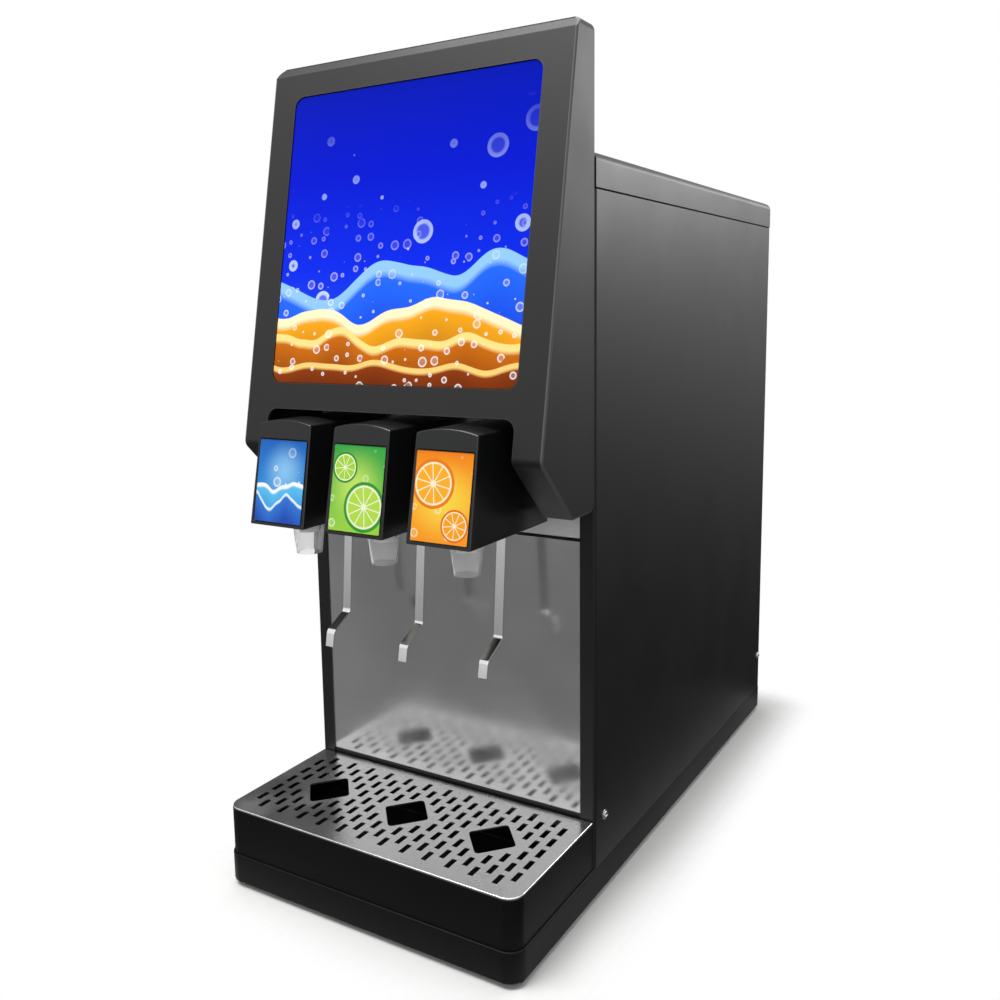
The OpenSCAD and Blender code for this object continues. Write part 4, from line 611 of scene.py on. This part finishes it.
def lathe(shape, outline, place, steps=32):
    """Turns an outline of (radius, height) in mm about the Z of a place. Returns its rings of vertices."""
    rings = []
    for radius, height in outline:
        count = steps if radius > 1e-6 else 1
        turns = [math.tau * k / steps for k in range(count)]
        rings.append([shape.verts.new(place @ Vector((
            radius * MM * math.cos(t), radius * MM * math.sin(t), height * MM))) for t in turns])
    for a, b in zip(rings, rings[1:]):
        for k in range(steps):
            corners = [a[k % len(a)], a[(k + 1) % len(a)], b[(k + 1) % len(b)], b[k % len(b)]]
            corners = [c for i, c in enumerate(corners) if c not in corners[:i]]
            shape.faces.new(corners).smooth = True
    return rings


def facing(place, axis):
    """A frame at a place in mm whose Z looks along an axis."""
    turn = Vector(axis).to_track_quat("Z", "Y").to_matrix().to_4x4()
    return Matrix.Translation(Vector(place) * MM) @ turn


def pan_screw(shape, place, axis, head_r=3.8):
    """A pan-head screw: domed head with a cross recess, seated on a thin washer."""
    at = facing(place, axis)
    lathe(shape, [(0, 0.02), (head_r + 1.2, 0.02), (head_r + 1.4, 0.25), (head_r + 1.1, 0.55),
                  (head_r - 0.2, 0.55)], at)
    shoulder, rise = 1.4, 1.1
    dome = [(head_r - 0.15, 0.5), (head_r, 0.9), (head_r, shoulder)]
    dome += [(head_r * math.cos(a), shoulder + rise * math.sin(a))
             for a in (0.25, 0.5, 0.75, 0.95, 1.1, 1.22, 1.33, 1.44)]
    rings = lathe(shape, dome + [(0, shoulder + rise)], at, 48)
    arm_half, arm_reach, recess = 0.62, 2.1, 1.1
    back = at.inverted()
    for ring in rings[4:]:
        for corner in ring:
            local = back @ corner.co
            if min(abs(local.x), abs(local.y)) < arm_half * MM and local.xy.length < arm_reach * MM:
                local.z -= recess * MM
                corner.co = at @ local


def tube(shape, path, radius, sides):
    """A round tube along a path of points in mm, closed at both ends."""
    rings = []
    across = None
    for i, point in enumerate(path):
        ahead = (path[min(i + 1, len(path) - 1)] - path[max(i - 1, 0)]).normalized()
        across = across or ahead.orthogonal()
        across = (across - across.dot(ahead) * ahead).normalized()
        other = ahead.cross(across)
        rings.append([shape.verts.new((point + radius * (math.cos(t) * across + math.sin(t) * other)) * MM)
                      for t in (math.tau * k / sides for k in range(sides))])
    for a, b in zip(rings, rings[1:]):
        for k in range(sides):
            shape.faces.new((a[k], a[(k + 1) % sides], b[(k + 1) % sides], b[k])).smooth = True
    shape.faces.new(rings[0][::-1])
    shape.faces.new(rings[-1])


def winding(loop_r, start_z, pitch, loops, steps=40):
    """Points in mm of a coil round the bath's middle."""
    turns = [i / steps for i in range(steps * loops + 1)]
    return [Vector((loop_r * math.cos(math.tau * t), BATH_Y + loop_r * math.sin(math.tau * t),
                    start_z + pitch * t)) for t in turns]


def strip(shape, x0, x1, y0, y1, z0, z1):
    """A flat strip between limits in mm."""
    middle = Vector(((x0 + x1) / 2, (y0 + y1) / 2, (z0 + z1) / 2))
    size = Matrix.Diagonal((x1 - x0, y1 - y0, z1 - z0, 1))
    bmesh.ops.create_cube(shape, size=MM, matrix=Matrix.Translation(middle * MM) @ size)


# Studio: each lamp has its place, aim, width and height in m, and power in W

photo_camera()
softbox("overhead_softbox", (-0.1, 0.0, 2.2), (0, 0.05, 0.4), 1.6, 1.4, 36)
softbox("front_softbox", (-0.55, -1.15, 2.25), (0, -0.25, 0.5), 1.2, 0.8, 41)
softbox("fill_softbox", (1.0, -1.8, 0.9), (0, -0.25, 0.35), 0.9, 0.9, 6)
softbox("rim_softbox", (1.25, 2.0, 1.25), (0.16, 0.1, 0.6), 0.9, 0.7, 17)
studio_world()
fading_floor()

# Finishes: plastics, paints and rubber

# Powder-coated sheet steel: satin black with a soft orange peel, its corners painted a little lighter, partly
# wear and partly painted highlight
dress(moulded("powder_coated_steel", "#131416", rough=0.42, grain_mm=1.2, depth_mm=0.03, shine=0.35,
              wear_and_highlight="#2c2d2f"),
      "side_panel_left", "side_panel_right", "rear_panel", "top_lid", "front_sill", "hood_back_plate")
# Spark-textured ABS: dark grey, finely pitted, so highlights stay soft; its rounded rims are painted a
# lighter grey, partly wear and partly painted highlight
dress(moulded("spark_textured_abs", "#1e1e1e", rough=0.49, grain_mm=0.8, depth_mm=0.03, shine=0.31,
              wear_and_highlight="#565656"),
      "hood")
# Polished-tool ABS of the valve covers: near black, with sharp highlights on its edges, whose colour is also
# painted a shade lighter, partly wear and partly painted highlight
dress(moulded("gloss_moulded_abs", "#191a1b", rough=0.24, grain_mm=1.5, depth_mm=0.01, shine=0.36,
              wear_and_highlight="#242526"),
      *each_valve("valve_cover_"))
# Fine-textured ABS of the base and tray: near black and dull, its edges painted mid grey, partly wear and
# partly a painted highlight line
dress(moulded("matt_moulded_abs", "#0d0d0e", rough=0.42, grain_mm=0.8, depth_mm=0.02, shine=0.12,
              wear_and_highlight="#606060"),
      "plinth", "drip_tray")
# Stoved enamel on the compressor: deep gloss black
dress(moulded("stoved_enamel", "#0b0b0c", rough=0.2, grain_mm=4.0, depth_mm=0.03, shine=0.5), "compressor")
# Hammered grey enamel on the motors: shallow dimples
dress(moulded("hammered_enamel", "#6a7074", rough=0.35, grain_mm=3.0, depth_mm=0.15, shine=0.5),
      "solenoids", "agitator_motor", "fan_motor", "carbonator_pump")
# Nitrile rubber: dull and slightly chalky
dress(moulded("nitrile_rubber", "#1c1c1c", rough=0.75, grain_mm=0.7, depth_mm=0.04, shine=0.3),
      "rubber_feet", "compressor_grommets")
# Acetal: waxy off-white
dress(moulded("white_acetal", "#e4e3dc", rough=0.38, grain_mm=1.4, depth_mm=0.01, shine=0.5),
      "diffusers", *each_valve("valve_body_"))
# Glass-filled nylon: black with a greyish bloom
dress(moulded("glass_filled_nylon", "#161718", rough=0.55, grain_mm=0.9, depth_mm=0.03, shine=0.4),
      "fan_blade", "cord_gland", "switch_housing", "microswitches")
# Polycarbonate of the switch parts: even, glossy red
dress(moulded("red_polycarbonate", "#9c1d16", rough=0.3, grain_mm=1.2, depth_mm=0.01, shine=0.5),
      "power_switch", *each_valve("switch_button_"))
# Rotomoulded polythene tank: white, slightly uneven
dress(moulded("white_polythene", "#dfe3e4", rough=0.5, grain_mm=6.0, depth_mm=0.1, shine=0.4), "bath_tank")
# Opal acrylic in front of the lamps: milky and smooth
dress(moulded("opal_acrylic", "#f1f1ec", rough=0.3, grain_mm=2.0, depth_mm=0.005, shine=0.5), "light_panel")
# Closed-cell foam: dead black, laid in the lid's gap as a dark fill that keeps its shadow line dark
shadow_gap_foam = moulded("closed_cell_foam", "#101010", rough=0.85, grain_mm=0.5, depth_mm=0.05, shine=0.2)
# Clear SAN nozzles: a little milky, with bright rims
dress(clear_plastic("moulded_san", "#ffffff", rough=0.03, ior=1.5, see=0.84), *each_valve("nozzle_"))
# PVC hose: clear, slightly clouded
hose_pvc = clear_plastic("clear_pvc", "#d5dadc", rough=0.2, ior=1.53, see=0.7)
dress(hose_pvc, "product_hoses")

# Finishes: metals

# Mirror-polished sheet: clear reflections with faint rolling lines
dress(bare_metal("mirror_polished_stainless", "#cfcece", rough=0.16, line_mm=0.6, relief_mm=0.003,
                 metal=0.8), "splash_panel")
# Punched sheet: a mill finish that mirrors softly, so it darkens where nothing bright stands behind it
dress(bare_metal("mill_stainless", "#eeeeee", rough=0.25, line_mm=0.5), "drip_grate")
# Satin sheet: the same steel brushed along the cabinet
dress(bare_metal("satin_stainless", "#ececec", rough=0.45, line_mm=0.5, metal=0.7), "valve_plate")
# Polished strip: bright where it faces the room, dark where it faces the hood
dress(bare_metal("polished_strip", "#f2f2f2", rough=0.12, line_mm=0.5, along=(0, 0, 1)),
      "lever_pins", *each_valve("lever_"))
# Drawn stainless tube and vessel: bright, with fine drawing lines
drawn_steel = bare_metal("drawn_stainless", "#c9cbcc", rough=0.2, line_mm=0.8, along=(0, 0, 1))
dress(drawn_steel, "product_coils", "carbonator", "agitator")
# Copper tube: warm and a little dulled by handling
copper = bare_metal("drawn_copper", "#b8693a", rough=0.3, line_mm=1.0, along=(0, 0, 1), cloud=0.5)
dress(copper, "evaporator_coil", "refrigerant_lines")
# Condenser: dull grey fins between copper bends
dress(finned_block("condenser", CONDENSER_STUB, CONDENSER_W), "condenser")
# Turned brass: yellow, with fine tool rings
dress(bare_metal("turned_brass", "#c3a04f", rough=0.25, line_mm=0.6, along=(1, 0, 1)), "inlet_fittings")
# Galvanised sheet: grey crystals
dress(spangled_zinc(), "light_box", "bath_shelf", "agitator_bridge", "fan_shroud", "power_supply")
# Zinc-plated screws: bright and bluish
zinc_plate = bare_metal("zinc_plated_steel", "#c8cacc", rough=0.22, line_mm=0.5, along=(0, 0, 1))

# Finishes: prints

dress(display_print(), "display_panel")
dress(label_print("blue_label_print", "flavour_label_left", cola_art,
                  (0.0, "#52b4ee"), (0.55, "#2583d6"), (1.0, "#1a62bc")), "flavour_label_left")
dress(label_print("green_label_print", "flavour_label_centre", lime_art,
                  (0.0, "#9fd843"), (0.5, "#52b944"), (1.0, "#37a544")), "flavour_label_centre")
dress(label_print("orange_label_print", "flavour_label_right", orange_art,
                  (0.0, "#ff9a1a"), (0.5, "#ffb52e"), (1.0, "#f58412")), "flavour_label_right")

# Rounded edges of the mouldings and sheets, by radius in mm

for k in VALVES:
    round_edges(nodes["valve_cover_" + k], 1.2)
    round_edges(nodes["lever_" + k], 0.3, steps=2)
for name, radius in (("plinth", 1.2), ("drip_tray", 1.0), ("display_panel", 0.5), ("top_lid", 0.5),
                     ("front_sill", 0.4), ("splash_panel", 0.3), ("valve_plate", 0.3)):
    round_edges(nodes[name], radius)
softened("hood_shell", "hood", "cabinet", 1.9, hood_rim)
softened("drip_grate_sheet", "drip_grate", "drip_grate", 0.7, grate_rim)

# Wound tubes in the bath

evaporator = bmesh.new()
tube(evaporator, winding(loop_r=112, start_z=314.5, pitch=25.05, loops=10), radius=5, sides=16)
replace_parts(new_piece("evaporator_tube", evaporator, copper, "cabinet"), "evaporator_coil")
product = bmesh.new()
for i in range(len(VALVES)):
    tube(product, winding(loop_r=92, start_z=313.5 + 86.83 * i, pitch=23.61, loops=3), radius=4, sides=14)
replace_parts(new_piece("product_tubes", product, drawn_steel, "cabinet"),
            "product_coils")

# Hoses through the tank's front wall, with a clip near each end

CLIPS_ALONG = (6, 36)
HOSE_OUTLINE = [(4.3, 0), (5.6, 0), (6.0, 0.4), (6.0, 9), (5.9, 20), (5.9, 30), (6.0, 40), (6.0, 44.1),
                (5.6, 44.5), (4.3, 44.5), (4.3, 0)]
CLIP_OUTLINE = [(6.05, 0), (6.7, 0), (6.8, 0.5), (6.8, 4.5), (6.7, 5), (6.05, 5), (6.05, 0)]
hoses = bmesh.new()
clips = bmesh.new()
for x in VALVES.values():
    for side in (-HOSE_SPREAD, HOSE_SPREAD):
        lathe(hoses, HOSE_OUTLINE, facing((x + side, HOSE_START, HOSE_Z), (0, 1, 0)))
        for along in CLIPS_ALONG:
            lathe(clips, CLIP_OUTLINE, facing((x + side, HOSE_START + along, HOSE_Z), (0, 1, 0)))
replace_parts(new_piece("product_hose_runs", hoses, hose_pvc, "cabinet"), "product_hoses")
new_piece("hose_clips", clips, drawn_steel, "cabinet")

# Black foam strips under the lid's side and rear walls, standing on the panels' top edge: they close the gap
# like a seal, and their black is painted shade that keeps the gap's shadow line dark

STRIP_IN, STRIP_W, STRIP_T = 1.1, 1.2, 1.1
STRIP_CLEAR, STRIP_FRONT, STRIP_ENDS = 0.05, 1, 3
strip_foot = LID_LOW.z + LID_RAIL + STRIP_CLEAR
strip_rear = LID_HIGH.y - STRIP_IN
shadow_gap_strips = bmesh.new()
for side in (-1, 1):
    outer = side * (LID_HIGH.x - STRIP_IN)
    strip(shadow_gap_strips, *sorted((outer, outer - side * STRIP_W)), LID_LOW.y + STRIP_FRONT, strip_rear,
          strip_foot, strip_foot + STRIP_T)
strip(shadow_gap_strips, LID_LOW.x + STRIP_ENDS, LID_HIGH.x - STRIP_ENDS, strip_rear - STRIP_W, strip_rear,
      strip_foot, strip_foot + STRIP_T)
new_piece("lid_shadow_gap_strips", shadow_gap_strips, shadow_gap_foam, "lid")

# Screws of the side and rear panels

screws = bmesh.new()
for side in (-1, 1):
    for y in SIDE_SCREWS_Y:
        pan_screw(screws, (SIDE_FACE * side, y, SIDE_SCREW_Z), (side, 0, 0), head_r=3.4)
for x in REAR_SCREWS_X:
    for z in REAR_SCREWS_Z:
        pan_screw(screws, (x, REAR_FACE, z), (0, 1, 0))
new_piece("panel_screws", screws, zinc_plate, "cabinet")

scene.view_settings.view_transform = "Standard"
